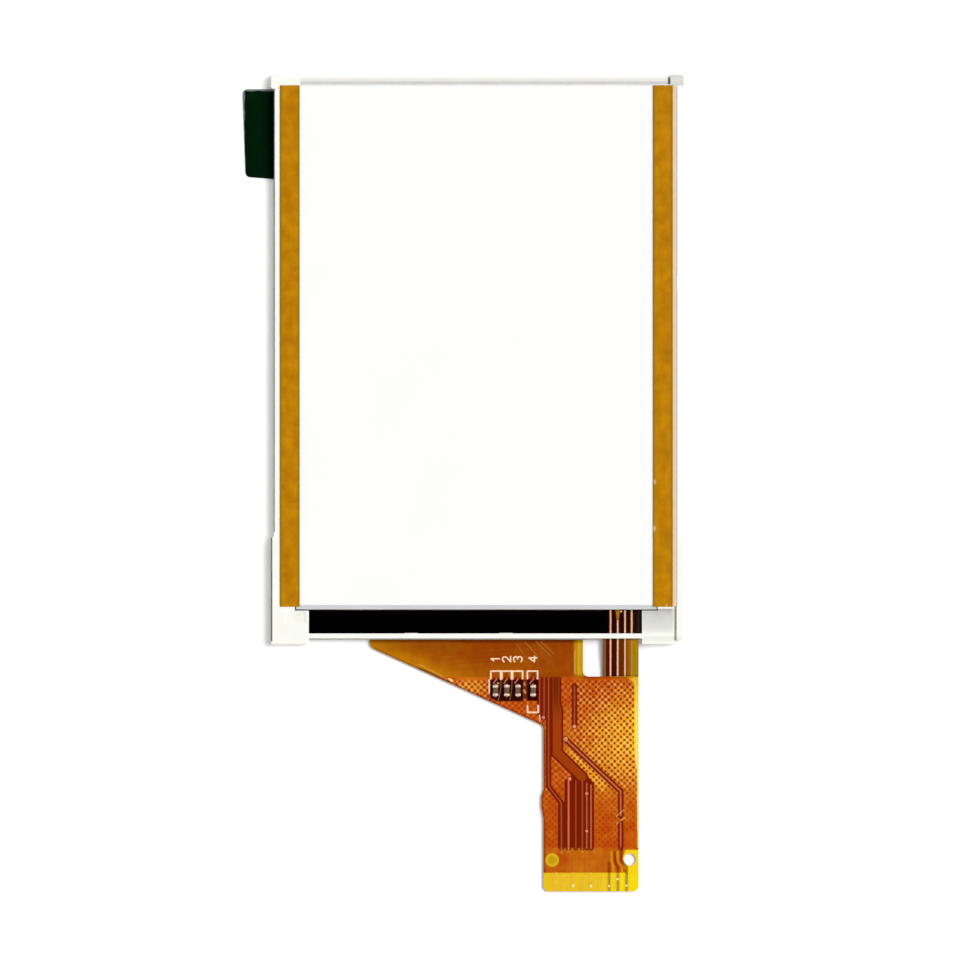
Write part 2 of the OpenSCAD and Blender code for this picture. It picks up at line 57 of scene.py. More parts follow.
# Millimetres, beyond every part of the module
FAR = 9.0
LOG = logging.getLogger("display_module")
Array = np.ndarray
Point = tuple[float, float]
Line = tuple[Point, ...]
Tree = bpy.types.NodeTree
Socket = bpy.types.NodeSocket


# ---------------------------------------------------------------- colour and nodes


def linear(code: str) -> tuple[float, float, float, float]:
    """Turns an sRGB hex colour into linear light.

    Args:
        code: six hex digits, such as "b97c08".

    Returns:
        Red, green, blue and an alpha of 1. Each channel c becomes c / 12.92 where it is small,
        and ((c + 0.055) / 1.055) to the power 2.4 above that.
    """
    c = np.array([int(code[i : i + 2], 16) for i in (0, 2, 4)]) / 255
    low, high = c / 12.92, ((c + 0.055) / 1.055) ** 2.4
    return (*(float(v) for v in np.where(c <= 0.04045, low, high)), 1.0)


def add(tree: Tree, kind: str, inputs: dict | None = None, out: int | str = 0, **settings) -> Socket | None:
    """Adds one shader node with its settings, values and links.

    Args:
        tree: the node tree.
        kind: the node's type, without the ShaderNode that every type's name starts with.
        inputs: for each input's name or number, a value, an sRGB hex colour or the output to link.
        out: name or number of the output to give back.
        **settings: properties of the node.

    Returns:
        The output, or nothing where the node has none.
    """
    node = tree.nodes.new(f"ShaderNode{kind}")
    for name, value in settings.items():
        setattr(node, name, value)
    for key, value in (inputs or {}).items():
        if isinstance(value, Socket):
            tree.links.new(value, node.inputs[key])
        else:
            node.inputs[key].default_value = linear(value) if isinstance(value, str) else value
    return node.outputs[out] if len(node.outputs) else None


def blank(owner: bpy.types.Material | bpy.types.World) -> Tree:
    """Turns on the nodes of a material or a world, and takes away those that it starts with."""
    owner.use_nodes = True
    owner.node_tree.nodes.clear()
    return owner.node_tree


def placed(name: str, data: bpy.types.ID) -> bpy.types.Object:
    """Adds to the scene an object that holds the data, at the origin."""
    thing = bpy.data.objects.new(name, data)
    bpy.context.scene.collection.objects.link(thing)
    return thing


# ---------------------------------------------------------------- shapes as whole arrays


def smooth(value: Array, low: float, high: float) -> Array:
    """Rises from 0 at low to 1 at high along t * t * (3 - 2 t)."""
    t = np.clip((value - low) / (high - low), 0, 1)
    return t * t * (3 - 2 * t)


def reach(x: Array, y: Array, line: Line) -> Array:
    """Distance from each place to a bent line.

    Args:
        x: places along X.
        y: places along Y.
        line: the line's points.

    Returns:
        For each place, the least of the distances to the nearest point of each straight piece.
    """
    best = np.full(np.broadcast(x, y).shape, np.inf)
    for (ax, ay), (bx, by) in zip(line, line[1:]):
        dx, dy = bx - ax, by - ay
        t = np.clip(((x - ax) * dx + (y - ay) * dy) / (dx * dx + dy * dy), 0, 1)
        best = np.minimum(best, np.hypot(x - ax - t * dx, y - ay - t * dy))
    return best


def within(x: Array, y: Array, outline: Line) -> Array:
    """Distance to an outline, positive inside it and negative outside.

    Args:
        x: places along X.
        y: places along Y.
        outline: the corners, in order.

    Returns:
        The distance to the outline, with its sign from the parity of the sides that a ray
        towards +X crosses.
    """
    closed = (*outline, outline[0])
    odd = np.zeros(np.broadcast(x, y).shape, bool)
    for (ax, ay), (bx, by) in zip(closed, closed[1:]):
        spans = (ay > y) != (by > y)
        across = ax + (y - ay) * (bx - ax) / ((by - ay) or 1e-9)
        odd ^= spans & (x < across)
    return np.where(odd, 1, -1) * reach(x, y, closed)


def rounded(corners: list[tuple[float, float, float]], steps: int = 6) -> Line:
    """Rounds the inner corners of a bent line.

    Args:
        corners: each corner's place and its radius, where 0 keeps it sharp.
        steps: straight pieces in each rounding.

    Returns:
        The points. A rounding is the arc about the point that lies r / sin(half the angle) from
        the corner along the middle between its two sides.
    """
    points: list[Point] = []
    for i, (x, y, r) in enumerate(corners):
        if r == 0 or i in (0, len(corners) - 1):
            points.append((x, y))
            continue
        b = np.array([x, y])
        u = np.array(corners[i - 1][:2]) - b
        v = np.array(corners[i + 1][:2]) - b
        u, v = u / np.linalg.norm(u), v / np.linalg.norm(v)
        half = math.acos(float(u @ v)) / 2
        middle = b + (u + v) / np.linalg.norm(u + v) * r / math.sin(half)
        start = b + u * r / math.tan(half) - middle
        turn = np.sign(u[1] * v[0] - u[0] * v[1]) * (math.pi - 2 * half)
        t = turn * np.arange(steps + 1) / steps
        c, s = np.cos(t), np.sin(t)
        arc = np.stack([start[0] * c - start[1] * s, start[0] * s + start[1] * c], 1)
        points += [tuple(p) for p in middle + arc]
    return tuple(points)


def grid_faces(rows: int, columns: int, close_u: bool = False) -> Array:
    """Four-cornered faces of a grid whose points are numbered row by row.

    Args:
        rows: points along the first parameter.
        columns: points along the second parameter.
        close_u: whether the last column joins the first.

    Returns:
        One line of four point numbers for each face, turning from the row to the next row.
    """
    i, j = np.meshgrid(np.arange(rows - 1), np.arange(columns if close_u else columns - 1), indexing="ij")
    here, beside = i * columns + j, i * columns + (j + 1) % columns
    return np.stack([here, beside, beside + columns, here + columns], -1).reshape(-1, 4)


@dataclass
class Shape:
    """Points in millimetres, faces, and values that vary over the points."""

    points: Array
    faces: Array
    values: dict[str, Array] = field(default_factory=dict)

    def joined(self, other: "Shape") -> "Shape":
        """Both shapes as one."""
        return Shape(
            np.vstack([self.points, other.points]),
            np.vstack([self.faces, other.faces + len(self.points)]),
            {k: np.concatenate([v, other.values[k]]) for k, v in self.values.items()},
        )

    def build(self, name: str, finish: "Finishes", slot: str) -> bpy.types.Object:
        """Makes the object that rides on the module.

        Args:
            name: the piece's name.
            finish: its finish.
            slot: the record's material slot; not used.

        Returns:
            The object. Points nearer than a tenth of a micrometre become one, and a face that this
            leaves with fewer than three corners is dropped.
        """
        kept, number = np.unique(np.round(self.points, 4), axis=0, return_index=True, return_inverse=True)[1:]
        faces = number.reshape(-1)[self.faces]
        same = faces == np.roll(faces, -1, 1)
        pinched = same.sum(1) == 1
        fours = faces[~same.any(1)]
        threes = faces[pinched][~same[pinched]].reshape(-1, 3)
        corners = np.concatenate([fours.ravel(), threes.ravel()])
        starts = np.concatenate([np.arange(len(fours)) * 4, fours.size + np.arange(len(threes)) * 3])
        mesh = bpy.data.meshes.new(name)
        mesh.vertices.add(len(kept))
        mesh.vertices.foreach_set("co", (self.points[kept] * MM).astype(np.float32).ravel())
        mesh.loops.add(len(corners))
        mesh.loops.foreach_set("vertex_index", corners.astype(np.int32))
        mesh.polygons.add(len(starts))
        mesh.polygons.foreach_set("loop_start", starts.astype(np.int32))
        mesh.update(calc_edges=True)
        mesh.validate()
        mesh.shade_smooth()
        for key, value in self.values.items():
            held = mesh.attributes.new(key, "FLOAT", "POINT")
            held.data.foreach_set("value", value[kept].astype(np.float32))
        piece = placed(name, mesh)
        mesh.materials.append(finish.value.material())
        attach(piece, "root")
        LOG.info("%s: %d points, %d faces, %s", name, len(kept), len(starts), finish.value.name)
        return piece


def rounded_box(low: Array, high: Array, r: float, steps: int = 8) -> Shape:
    """A box with rounded edges.

    Args:
        low: its lowest corner.
        high: its highest corner.
        r: radius of the edges.
        steps: points in a quarter turn.

    Returns:
        A closed shape. Each point is the nearest corner's centre plus r times its direction on a
        ball, and the gaps that this opens between the eight pieces of the ball are the flat sides.
    """
    quarter = (np.arange(steps) + 0.5) / steps * math.pi / 2
    a = np.concatenate([quarter + turn * math.pi / 2 for turn in range(4)])
    b = np.concatenate([[0.0], quarter, quarter + math.pi / 2, [math.pi]])
    b, a = np.meshgrid(b, a, indexing="ij")
    ball = np.stack([np.sin(b) * np.cos(a), np.sin(b) * np.sin(a), np.cos(b)], -1).reshape(-1, 3)
    side = np.sign(np.stack([np.cos(a), np.sin(a), np.cos(b)], -1).reshape(-1, 3))
    middle, half = (low + high) / 2, (high - low) / 2
    points = middle + side * (half - r) + ball * r
    rows, columns = b.shape
    faces = grid_faces(rows, columns, close_u=True)[:, ::-1]
    lids = []
    for row in (0, rows - 1):
        near = row * columns + np.arange(columns // 2 - 1)
        far = (row + 1) * columns - 1 - np.arange(columns // 2 - 1)
        quads = np.stack([near, near + 1, far - 1, far], 1)
        lids.append(quads[:, ::-1] if row else quads)
    return Shape(points, np.vstack([faces, *lids]))


def stroke(
    line: Line, width: float, height: float, base: Array | float, across: int = 7, spacing: float = 0.06
) -> Shape:
    """A low crowned bead of ink or metal along a bent line.

    Args:
        line: the line's points.
        width: its width.
        height: its height at the middle.
        base: the level that it lies on.
        across: points across it.
        spacing: the largest step between points along it.

    Returns:
        The profile height * (1 - u^4), with u from -1 to 1 across the width, carried along the
        line, and narrowed at both ends like a half circle.
    """
    pts = np.array(line, float)
    steps = np.linalg.norm(np.diff(pts, axis=0), axis=1)
    along = np.concatenate([[0], np.cumsum(steps)])
    dense = np.unique(np.concatenate([along, np.arange(0, along[-1], spacing)]))
    x, y = np.interp(dense, along, pts[:, 0]), np.interp(dense, along, pts[:, 1])
    first, last = pts[1] - pts[0], pts[-1] - pts[-2]
    first, last = first / np.linalg.norm(first), last / np.linalg.norm(last)
    end = np.linspace(math.pi / 2, 0, 5, endpoint=False)
    out = np.sin(end)[:, None] * width / 2
    path = np.vstack([pts[0] - first * out, np.stack([x, y], 1), (pts[-1] + last * out)[::-1]])
    scale = np.concatenate([np.cos(end), np.ones(len(dense)), np.cos(end)[::-1]])
    forward = np.gradient(path, axis=0)
    forward /= np.linalg.norm(forward, axis=1, keepdims=True)
    side = np.stack([-forward[:, 1], forward[:, 0]], 1)
    u = np.linspace(1, -1, across)
    flat = path[:, None] + side[:, None] * (u[None, :, None] * scale[:, None, None] * width / 2)
    level = base + height * (1 - u[None] ** 4) * np.sqrt(scale)[:, None]
    points = np.concatenate([flat, level[..., None]], -1).reshape(-1, 3)
    return Shape(points, grid_faces(len(path), across))


def dome(
    x: float, y: float, base: float, r: float, height: float, dimple: float = 0.0, rings: int = 9
) -> Shape:
    """A low round mound with an optional dimple, for a plated hole or a drop of solder.

    Args:
        x: its middle along X.
        y: its middle along Y.
        base: the level that it lies on.
        r: its radius.
        height: its height.
        dimple: share of the height that the middle sinks by.
        rings: rings of points, of which the last is the middle.

    Returns:
        Rings of points at level base + height * (1 - u^2) - dimple * height * (1 - 3 u)^2 where
        u, the distance from the middle as a share of r, is under a third.
    """
    turn = np.linspace(0, 2 * math.pi, 24, endpoint=False)
    u, a = np.meshgrid(np.linspace(1, 0, rings), turn, indexing="ij")
    level = base + height * (1 - u**2) - dimple * height * np.clip(1 - 3 * u, 0, 1) ** 2
    points = np.stack([x + r * u * np.cos(a), y + r * u * np.sin(a), level], -1).reshape(-1, 3)
    return Shape(points, grid_faces(rings, len(turn), close_u=True))


# ---------------------------------------------------------------- finishes


@dataclass(frozen=True)
class Finish:
    """A plain finish: two near colours in soft blotches, over a fine grain.

    Colours are sRGB hex. The size of a blotch and of a grain, the grain's depth, and how far light
    bleeds below the surface are in millimetres.
    """

    name: str
    light: str
    dark: str
    blotch: float = 1.5
    grain: float = 0.12
    depth: float = 0.002
    roughness: float = 0.5
    metallic: float = 0.0
    ior: float = 1.5
    specular: float = 0.5
    transmission: float = 0.0
    subsurface: float = 0.0
    bleed: float = 0.3

    def colour(self, tree: Tree, at: Socket) -> Socket:
        """The colour at each place: the dark one turning to the light one over soft noise."""
        noise = add(tree, "TexNoise", {"Vector": at, "Scale": 1 / self.blotch, "Detail": 3.0})
        return self.layered(tree, self.dark, [(noise, 0.3, 0.7, 0.0, 1.0, self.light)])

    def layered(self, tree: Tree, tone: Socket | str, layers: list[tuple]) -> Socket | str:
        """Lays colours over a tone, each by a share that follows a value.

        Args:
            tree: the node tree.
            tone: the tone below.
            layers: for each colour a value, the two bounds between which the share changes, the
                share at each of them, and the colour.

        Returns:
            The tone with all the colours over it.
        """
        for value, low, high, first, last, over in layers:
            ends = {"From Min": low, "From Max": high, "To Min": first, "To Max": last}
            share = add(tree, "MapRange", {"Value": value, **ends})
            tone = add(tree, "Mix", {0: share, 6: tone, 7: over}, 2, data_type="RGBA")
        return tone

    def height(self, tree: Tree, at: Socket) -> Socket:
        """The height of the grain at each place, from 0 to 1."""
        return add(tree, "TexNoise", {"Vector": at, "Scale": 1 / self.grain, "Detail": 2.0})

    def material(self) -> bpy.types.Material:
        """Builds the material, or gives the one already built."""
        if self.name in bpy.data.materials:
            return bpy.data.materials[self.name]
        made = bpy.data.materials.new(self.name)
        tree = blank(made)
        place = add(tree, "TexCoord", out="Object")
        at = add(tree, "VectorMath", {0: place, "Scale": 1 / MM}, operation="SCALE")
        height = self.height(tree, at)
        bump = add(tree, "Bump", {"Strength": 1.0, "Distance": self.depth * MM, "Height": height})
        shader = add(tree, "BsdfPrincipled", {
            "Base Color": self.colour(tree, at), "Roughness": self.roughness, "Metallic": self.metallic,
            "IOR": self.ior, "Specular IOR Level": self.specular, "Transmission Weight": self.transmission,
            "Subsurface Weight": self.subsurface, "Subsurface Scale": self.bleed * MM, "Normal": bump,
        })
        add(tree, "OutputMaterial", {0: shader})
        return made


@dataclass(frozen=True)
class FrameFinish(Finish):
    """Moulded white plastic, with boxes of grey painted on it at places.

    In the pocket at the lower right the grey is painted shade, darkest below its top wall, and beside the
    right liner it is the painted shadow in the gap to the frame's rim; on the top rail, the right ear and the
    lower right corner it is grey lines and patches. Each place has its lowest and highest X and Y, and the
    share of grey at its low and high end. The edges are the same for the painted shade line down the left
    side, which turns away from the light, and which only the frame's back has.
    """

    overlay_tone: str = "aeadb0"
    places: tuple[tuple[float, ...], ...] = (
        # The first box is painted shade in the lower right pocket, darkest below its top wall
        (14.95, 17.7, -24.6, -22.4, 0.3, 0.8), (17.2, 18.7, 24.6, 25.7, 0.6, 0.5),
        (14.9, 18.5, -25.3, -24.9, 0.2, 0.2), (-15.8, 17.2, 24.7, 25.3, 0.44, 0.22),
        (-16.4, -15.3, -23.7, -22.4, 0.05, 0.22), (-15.8, 17.2, 24.72, 24.97, 0.5, 0.5),
        # Painted shadow in the gap between the right liner and the frame's rim
        (17.84, 18.12, -22.2, 24.5, 0.45, 0.45),
    )
    # Painted shade: a dark line down the frame's left side, turned away from the light
    painted_edge_shade: str = "262a27"
    edges: tuple[tuple[float, ...], ...] = (
        (-18.6, -18.11, -15.5, 24.3, 0.95, 1.2), (-18.7, -18.34, -25.35, -15.9, 1.2, 1.1),
    )
    back: float = float(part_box("adhesive_left")[0][2]) / MM
    soft: float = 0.06

    def colour(self, tree: Tree, at: Socket) -> Socket:
        """White blotches, with a soft-edged, slightly cloudy box of grey at each place, and of painted shade
        at each edge.
        """
        tone = Finish.colour(self, tree, at)
        parts = add(tree, "SeparateXYZ", {0: at}).node.outputs
        cloud = add(tree, "TexNoise", {"Vector": at, "Scale": 1.6, "Detail": 3.0})
        cloud = add(tree, "MapRange", {"Value": cloud, "From Min": 0.2, "To Min": 0.75, "To Max": 1.15})
        marks = [(*place, -1.0, self.overlay_tone) for place in self.places]
        marks += [(*edge, self.back - self.soft, self.painted_edge_shade) for edge in self.edges]
        for x0, x1, y0, y1, first, last, z0, over in marks:
            ends = {"From Min": y0, "From Max": y1, "To Min": first, "To Max": last}
            share = add(tree, "MapRange", {"Value": parts[1], **ends})
            for axis, low, high in ((0, x0, x1), (1, y0, y1), (2, z0, FAR)):
                for edge, way in ((low, self.soft), (high, -self.soft)):
                    ends = {"From Min": edge - way, "From Max": edge + way}
                    inside = add(tree, "MapRange", {"Value": parts[axis], **ends})
                    share = add(tree, "Math", {0: share, 1: inside}, operation="MULTIPLY")
            share = add(tree, "Math", {0: share, 1: cloud}, operation="MULTIPLY")
            tone = add(tree, "Mix", {0: share, 6: tone, 7: over}, 2, data_type="RGBA")
        return tone


@dataclass(frozen=True)
class GlassFinish(Finish):
    """Display glass: dark where black tape lies under it, and pale at the free end of its ledge."""

    free: str = "f2eee2"
    end: float = -24.75

    def colour(self, tree: Tree, at: Socket) -> Socket:
        """The dark blotches, turning pale below the place along Y where the tape ends."""
        y = add(tree, "SeparateXYZ", {0: at}, "Y")
        layers = [(y, self.end + 0.1, self.end, 0.0, 1.0, self.free)]
        return self.layered(tree, Finish.colour(self, tree, at), layers)


@dataclass(frozen=True)
class TabFinish(Finish):
    """Green tape, with a painted highlight along its left and top edges, where they catch the light."""

    # Painted highlight: pale teal along the cut edges, for the light caught there
    painted_edge_highlight: str = "9fb0ac"
    left: float = -21.03
    top: float = 24.33

    def colour(self, tree: Tree, at: Socket) -> Socket:
        """Green blotches with the painted highlight line, whose width wanders a little."""
        parts = add(tree, "SeparateXYZ", {0: at}).node.outputs
        ragged = add(tree, "TexNoise", {"Vector": at, "Scale": 1.2, "Detail": 2.0})
        layers = []
        for axis, edge, way in ((0, self.left, 1.0), (1, self.top, -1.0)):
            away = add(tree, "Math", {0: parts[axis], 1: way, 2: -way * edge}, operation="MULTIPLY_ADD")
            away = add(tree, "Math", {0: ragged, 1: -0.2, 2: away}, operation="MULTIPLY_ADD")
            layers.append((away, 0.0, 0.12, 0.55, 0.0, self.painted_edge_highlight))
        return self.layered(tree, Finish.colour(self, tree, at), layers)


@dataclass(frozen=True)
class LinerFinish(Finish):
    """Coated release paper, slit from a roll: lengthwise streaks, and scuffs where a nail caught it.

    A scuff has its middle and its radius, and is drawn narrower than long. Both slit sides of each
    strip are worn.
    """

    streak: str = "a57304"
    edge: str = "877020"
    sides: tuple[float, ...] = (-17.65, -15.87, 15.87, 17.65)
    scuff: str = "f0cf9a"
    scuffs: tuple[tuple[float, ...], ...] = ((16.05, -11.0, 0.35), (16.0, -15.2, 0.4), (17.1, -22.1, 0.25))
    narrow: float = 2.2
    top: float = 2.26

    def colour(self, tree: Tree, at: Socket) -> Socket:
        """Blotches, with streaks along Y, worn sides, and pale scuffs at fixed places."""
        drawn = add(tree, "Mapping", {"Vector": at, "Scale": (6.0, 0.35, 1.0)})
        streaks = add(tree, "TexNoise", {"Vector": drawn, "Scale": 1.0, "Detail": 2.0})
        layers = [(streaks, 0.52, 0.75, 0.0, 0.45, self.streak)]
        across = add(tree, "SeparateXYZ", {0: at})
        for side in self.sides:
            away = add(tree, "Math", {0: across, 1: side}, operation="SUBTRACT")
            away = add(tree, "Math", {0: away}, operation="ABSOLUTE")
            layers.append((away, 0.03, 0.28, 0.85, 0.0, self.edge))
        ragged = add(tree, "TexNoise", {"Vector": at, "Scale": 5.0, "Detail": 4.0})
        for x, y, r in self.scuffs:
            moved = {"Location": (-x * self.narrow, -y, -self.top), "Scale": (self.narrow, 1.0, 1.0)}
            away = add(tree, "Mapping", {"Vector": at, **moved})
            away = add(tree, "VectorMath", {0: away}, "Value", operation="LENGTH")
            away = add(tree, "Math", {0: ragged, 1: 0.8 * r, 2: away}, operation="MULTIPLY_ADD")
            layers.append((away, 0.75 * r, 1.3 * r, 0.5, 0.0, self.scuff))
        return self.layered(tree, Finish.colour(self, tree, at), layers)


@dataclass(frozen=True)
class FilmFinish(Finish):
    """Polyimide base film of the circuit: amber, with the copper of its other side showing as lines."""

    line: str = "8a4206"
    pitch: float = 0.24

    def colour(self, tree: Tree, at: Socket) -> Socket:
        """Amber blotches with fine darker lines along Y, drawn wider than real so that they show.

        Args:
            tree: the node tree.
            at: the place on the module, in millimetres.

        Returns:
            The colour. Blender's wave has a band every 2 pi / 20 at a scale of 1.
        """
        bands = {"Vector": at, "Scale": 2 * math.pi / 20 / self.pitch, "Distortion": 0.0}
        wave = add(tree, "TexWave", bands, "Fac", bands_direction="X")
        return self.layered(tree, Finish.colour(self, tree, at), [(wave, 0.3, 0.9, 0.0, 0.35, self.line)])


@dataclass(frozen=True)
class ContactFinish(Finish):
    """Thin gold over copper, paler to the right, with a dull line down each of the last three contacts."""

    overlay_tone: str = "f2d214"
    dull: str = "9c7a0a"
    lines: tuple[float, ...] = (11.94, 12.74, 13.52)

    def colour(self, tree: Tree, at: Socket) -> Socket:
        """Bright blotches, with the dull tone near each line's place along X."""
        x = add(tree, "SeparateXYZ", {0: at})
        layers = [(x, 10.5, 13.6, 0.0, 0.9, self.overlay_tone)]
        for line in self.lines:
            away = add(tree, "Math", {0: x, 1: line}, operation="SUBTRACT")
            away = add(tree, "Math", {0: away}, operation="ABSOLUTE")
            layers.append((away, 0.08, 0.17, 0.8, 0.0, self.dull))
        return self.layered(tree, Finish.colour(self, tree, at), layers)


@dataclass(frozen=True)
class CoverFilmFinish(Finish):
    """Amber cover film pressed over etched copper.

    Conductors stand up as rosy ridges in maroon gaps, where there is no copper, and the shield between them
    is a copper net, whose openings show dark and whose crossings catch the light, partly through the net's
    relief and partly through painted glints. The rosy and cream crowns of the ridges are partly painted
    highlight. The mesh holds the distances and shares that this reads, under the names in held.
    """

    opening: str = "7a1400"
    shadow: str = "220306"
    gap: str = "791a02"
    net_low: str = "be4c06"
    net_high: str = "f4a426"
    # Painted glints on the net's crossings, salmon to yellow as the tint rises
    glint_low: str = "f79c5c"
    glint_high: str = "ffd85e"
    # Conductor tones, brown to rosy to cream as glow rises; the rosy and cream crowns are partly painted
    # highlight
    ridge_low: str = "a03c08"
    ridge: str = "a54a28"
    ridge_high: str = "d0704a"
    cream: str = "f8cfa6"
    pale: str = "ffe688"
    amber_low: str = "9c4404"
    amber_high: str = "c27a06"
    bare_low: str = "e6b61c"
    bare_high: str = "f7da0e"
    net_pitch: float = 0.558
    net_origin: Point = (9.826, -29.333)
    held: tuple[str, ...] = (
        "tint", "contrast", "sparkle", "glow", "plain", "copper_edge", "shield_edge", "smooth_zone", "bare",
        "dark_edge", "dark_share", "pale_edge", "pale_share", "shade",
    )

    def net(self, tree: Tree, at: Socket) -> Socket:
        """The net, a little warped: cos(x) times a clipped cos(y), 1 at an opening and -1 at a crossing."""
        wander = add(tree, "TexNoise", {"Vector": at, "Scale": 0.9, "Detail": 2.0}, "Color")
        warp = {0: wander, 1: (0.32, 0.32, 0.0), 2: at}
        moved = add(tree, "VectorMath", warp, operation="MULTIPLY_ADD")
        parts = add(tree, "SeparateXYZ", {0: moved}).node.outputs
        turn = 2 * math.pi / self.net_pitch
        waves = []
        for part, origin in zip(parts, self.net_origin):
            phase = add(tree, "Math", {0: part, 1: turn, 2: -origin * turn}, operation="MULTIPLY_ADD")
            waves.append(add(tree, "Math", {0: phase}, operation="COSINE"))
        ends = {"From Min": -0.7, "From Max": 0.7, "To Min": -1.0}
        clipped = add(tree, "MapRange", {"Value": waves[1], **ends})
        return add(tree, "Math", {0: waves[0], 1: clipped}, operation="MULTIPLY")

    def colour(self, tree: Tree, at: Socket) -> Socket:
        """Layers the tones: smooth amber film, net with its painted glints, gaps, ridges, bare film, streaks
        and painted shade.

        Args:
            tree: the node tree.
            at: the place on the module, in millimetres.

        Returns:
            The colour. The first list below turns values into shares, each rising smoothly between
            two bounds to a top. The second multiplies shares. The third lays each tone over another
            by a share, and its tones are colours or tones already made.
        """
        v = {name: add(tree, "Attribute", out="Fac", attribute_name=name) for name in self.held}
        v["net"] = self.net(tree, at)
        drawn = add(tree, "Mapping", {"Vector": at, "Scale": (4.2, 1.9, 1.0)})
        v["specks"] = add(tree, "TexNoise", {"Vector": drawn, "Scale": 1.0, "Detail": 2.0})
        clouds = add(tree, "TexNoise", {"Vector": at, "Scale": 1.1, "Detail": 3.0})
        drift = add(tree, "Math", {0: clouds, 1: 0.7, 2: -0.35}, operation="MULTIPLY_ADD")
        v["cloudy"] = add(tree, "Math", {0: v["tint"], 1: drift}, operation="ADD", use_clamp=True)
        for name, value, low, high, top in (
            ("crossing", "net", 0.1, -0.9, 1.0), ("hole", "net", 0.15, 0.85, 0.9),
            ("speck", "specks", 0.36, 0.62, 1.0), ("lit", "tint", -0.9, 0.7, 1.0),
            ("warm", "glow", 0.0, 0.5, 1.0), ("rosy", "glow", 0.5, 1.0, 1.0),
            ("off_copper", "copper_edge", -0.05, 0.03, 1.0), ("on_net", "shield_edge", -0.03, 0.04, 1.0),
            ("dark_near", "dark_edge", 0.035, -0.035, 1.0), ("pale_near", "pale_edge", 0.035, -0.035, 1.0),
        ):
            rise = {"Value": v[value], "From Min": low, "From Max": high, "To Max": top}
            v[name] = add(tree, "MapRange", rise, interpolation_type="SMOOTHSTEP")
        # bright is the share of painted glint: at the net's crossings, in specks, as far as sparkle and tint
        # allow
        for name, one, other in (
            ("bright", "crossing", "speck"), ("bright", "bright", "sparkle"),
            ("bright", "bright", "lit"), ("hole", "hole", "contrast"),
            ("dark", "dark_near", "dark_share"), ("pale", "pale_near", "pale_share"),
        ):
            v[name] = add(tree, "Math", {0: v[one], 1: v[other]}, operation="MULTIPLY")
        tones: dict[str, Socket] = {}
        for name, share, under, over in (
            ("amber", "cloudy", self.amber_low, self.amber_high),
            ("copper", "cloudy", self.net_low, self.net_high),
            ("glint", "cloudy", self.glint_low, self.glint_high), ("net", "bright", "copper", "glint"),
            ("net", "hole", "net", self.opening), ("ridge", "plain", self.ridge_low, self.ridge),
            ("ridge", "warm", "ridge", self.ridge_high), ("ridge", "rosy", "ridge", self.cream),
            ("metal", "off_copper", "ridge", self.gap), ("metal", "on_net", "metal", "net"),
            ("film", "smooth_zone", "metal", "amber"), ("gold", "tint", self.bare_low, self.bare_high),
            ("film", "bare", "film", "gold"), ("film", "dark", "film", self.opening),
            ("film", "pale", "film", self.pale), ("film", "shade", "film", self.shadow),
        ):
            layer = {0: v[share], 6: tones.get(under, under), 7: tones.get(over, over)}
            tones[name] = add(tree, "Mix", layer, 2, data_type="RGBA")
        return tones["film"]

    def height(self, tree: Tree, at: Socket) -> Socket:
        """The net's relief where its contrast is high, over the film's faint orange-peel."""
        contrast, shield = (
            add(tree, "Attribute", out="Fac", attribute_name=name) for name in ("contrast", "shield_edge")
        )
        sunk = add(tree, "Math", {0: self.net(tree, at), 1: contrast}, operation="MULTIPLY")
        inside = add(tree, "MapRange", {"Value": shield, "From Max": 0.1, "To Max": -1.2})
        grain = Finish.height(self, tree, at)
        return add(tree, "Math", {0: sunk, 1: inside, 2: grain}, operation="MULTIPLY_ADD")


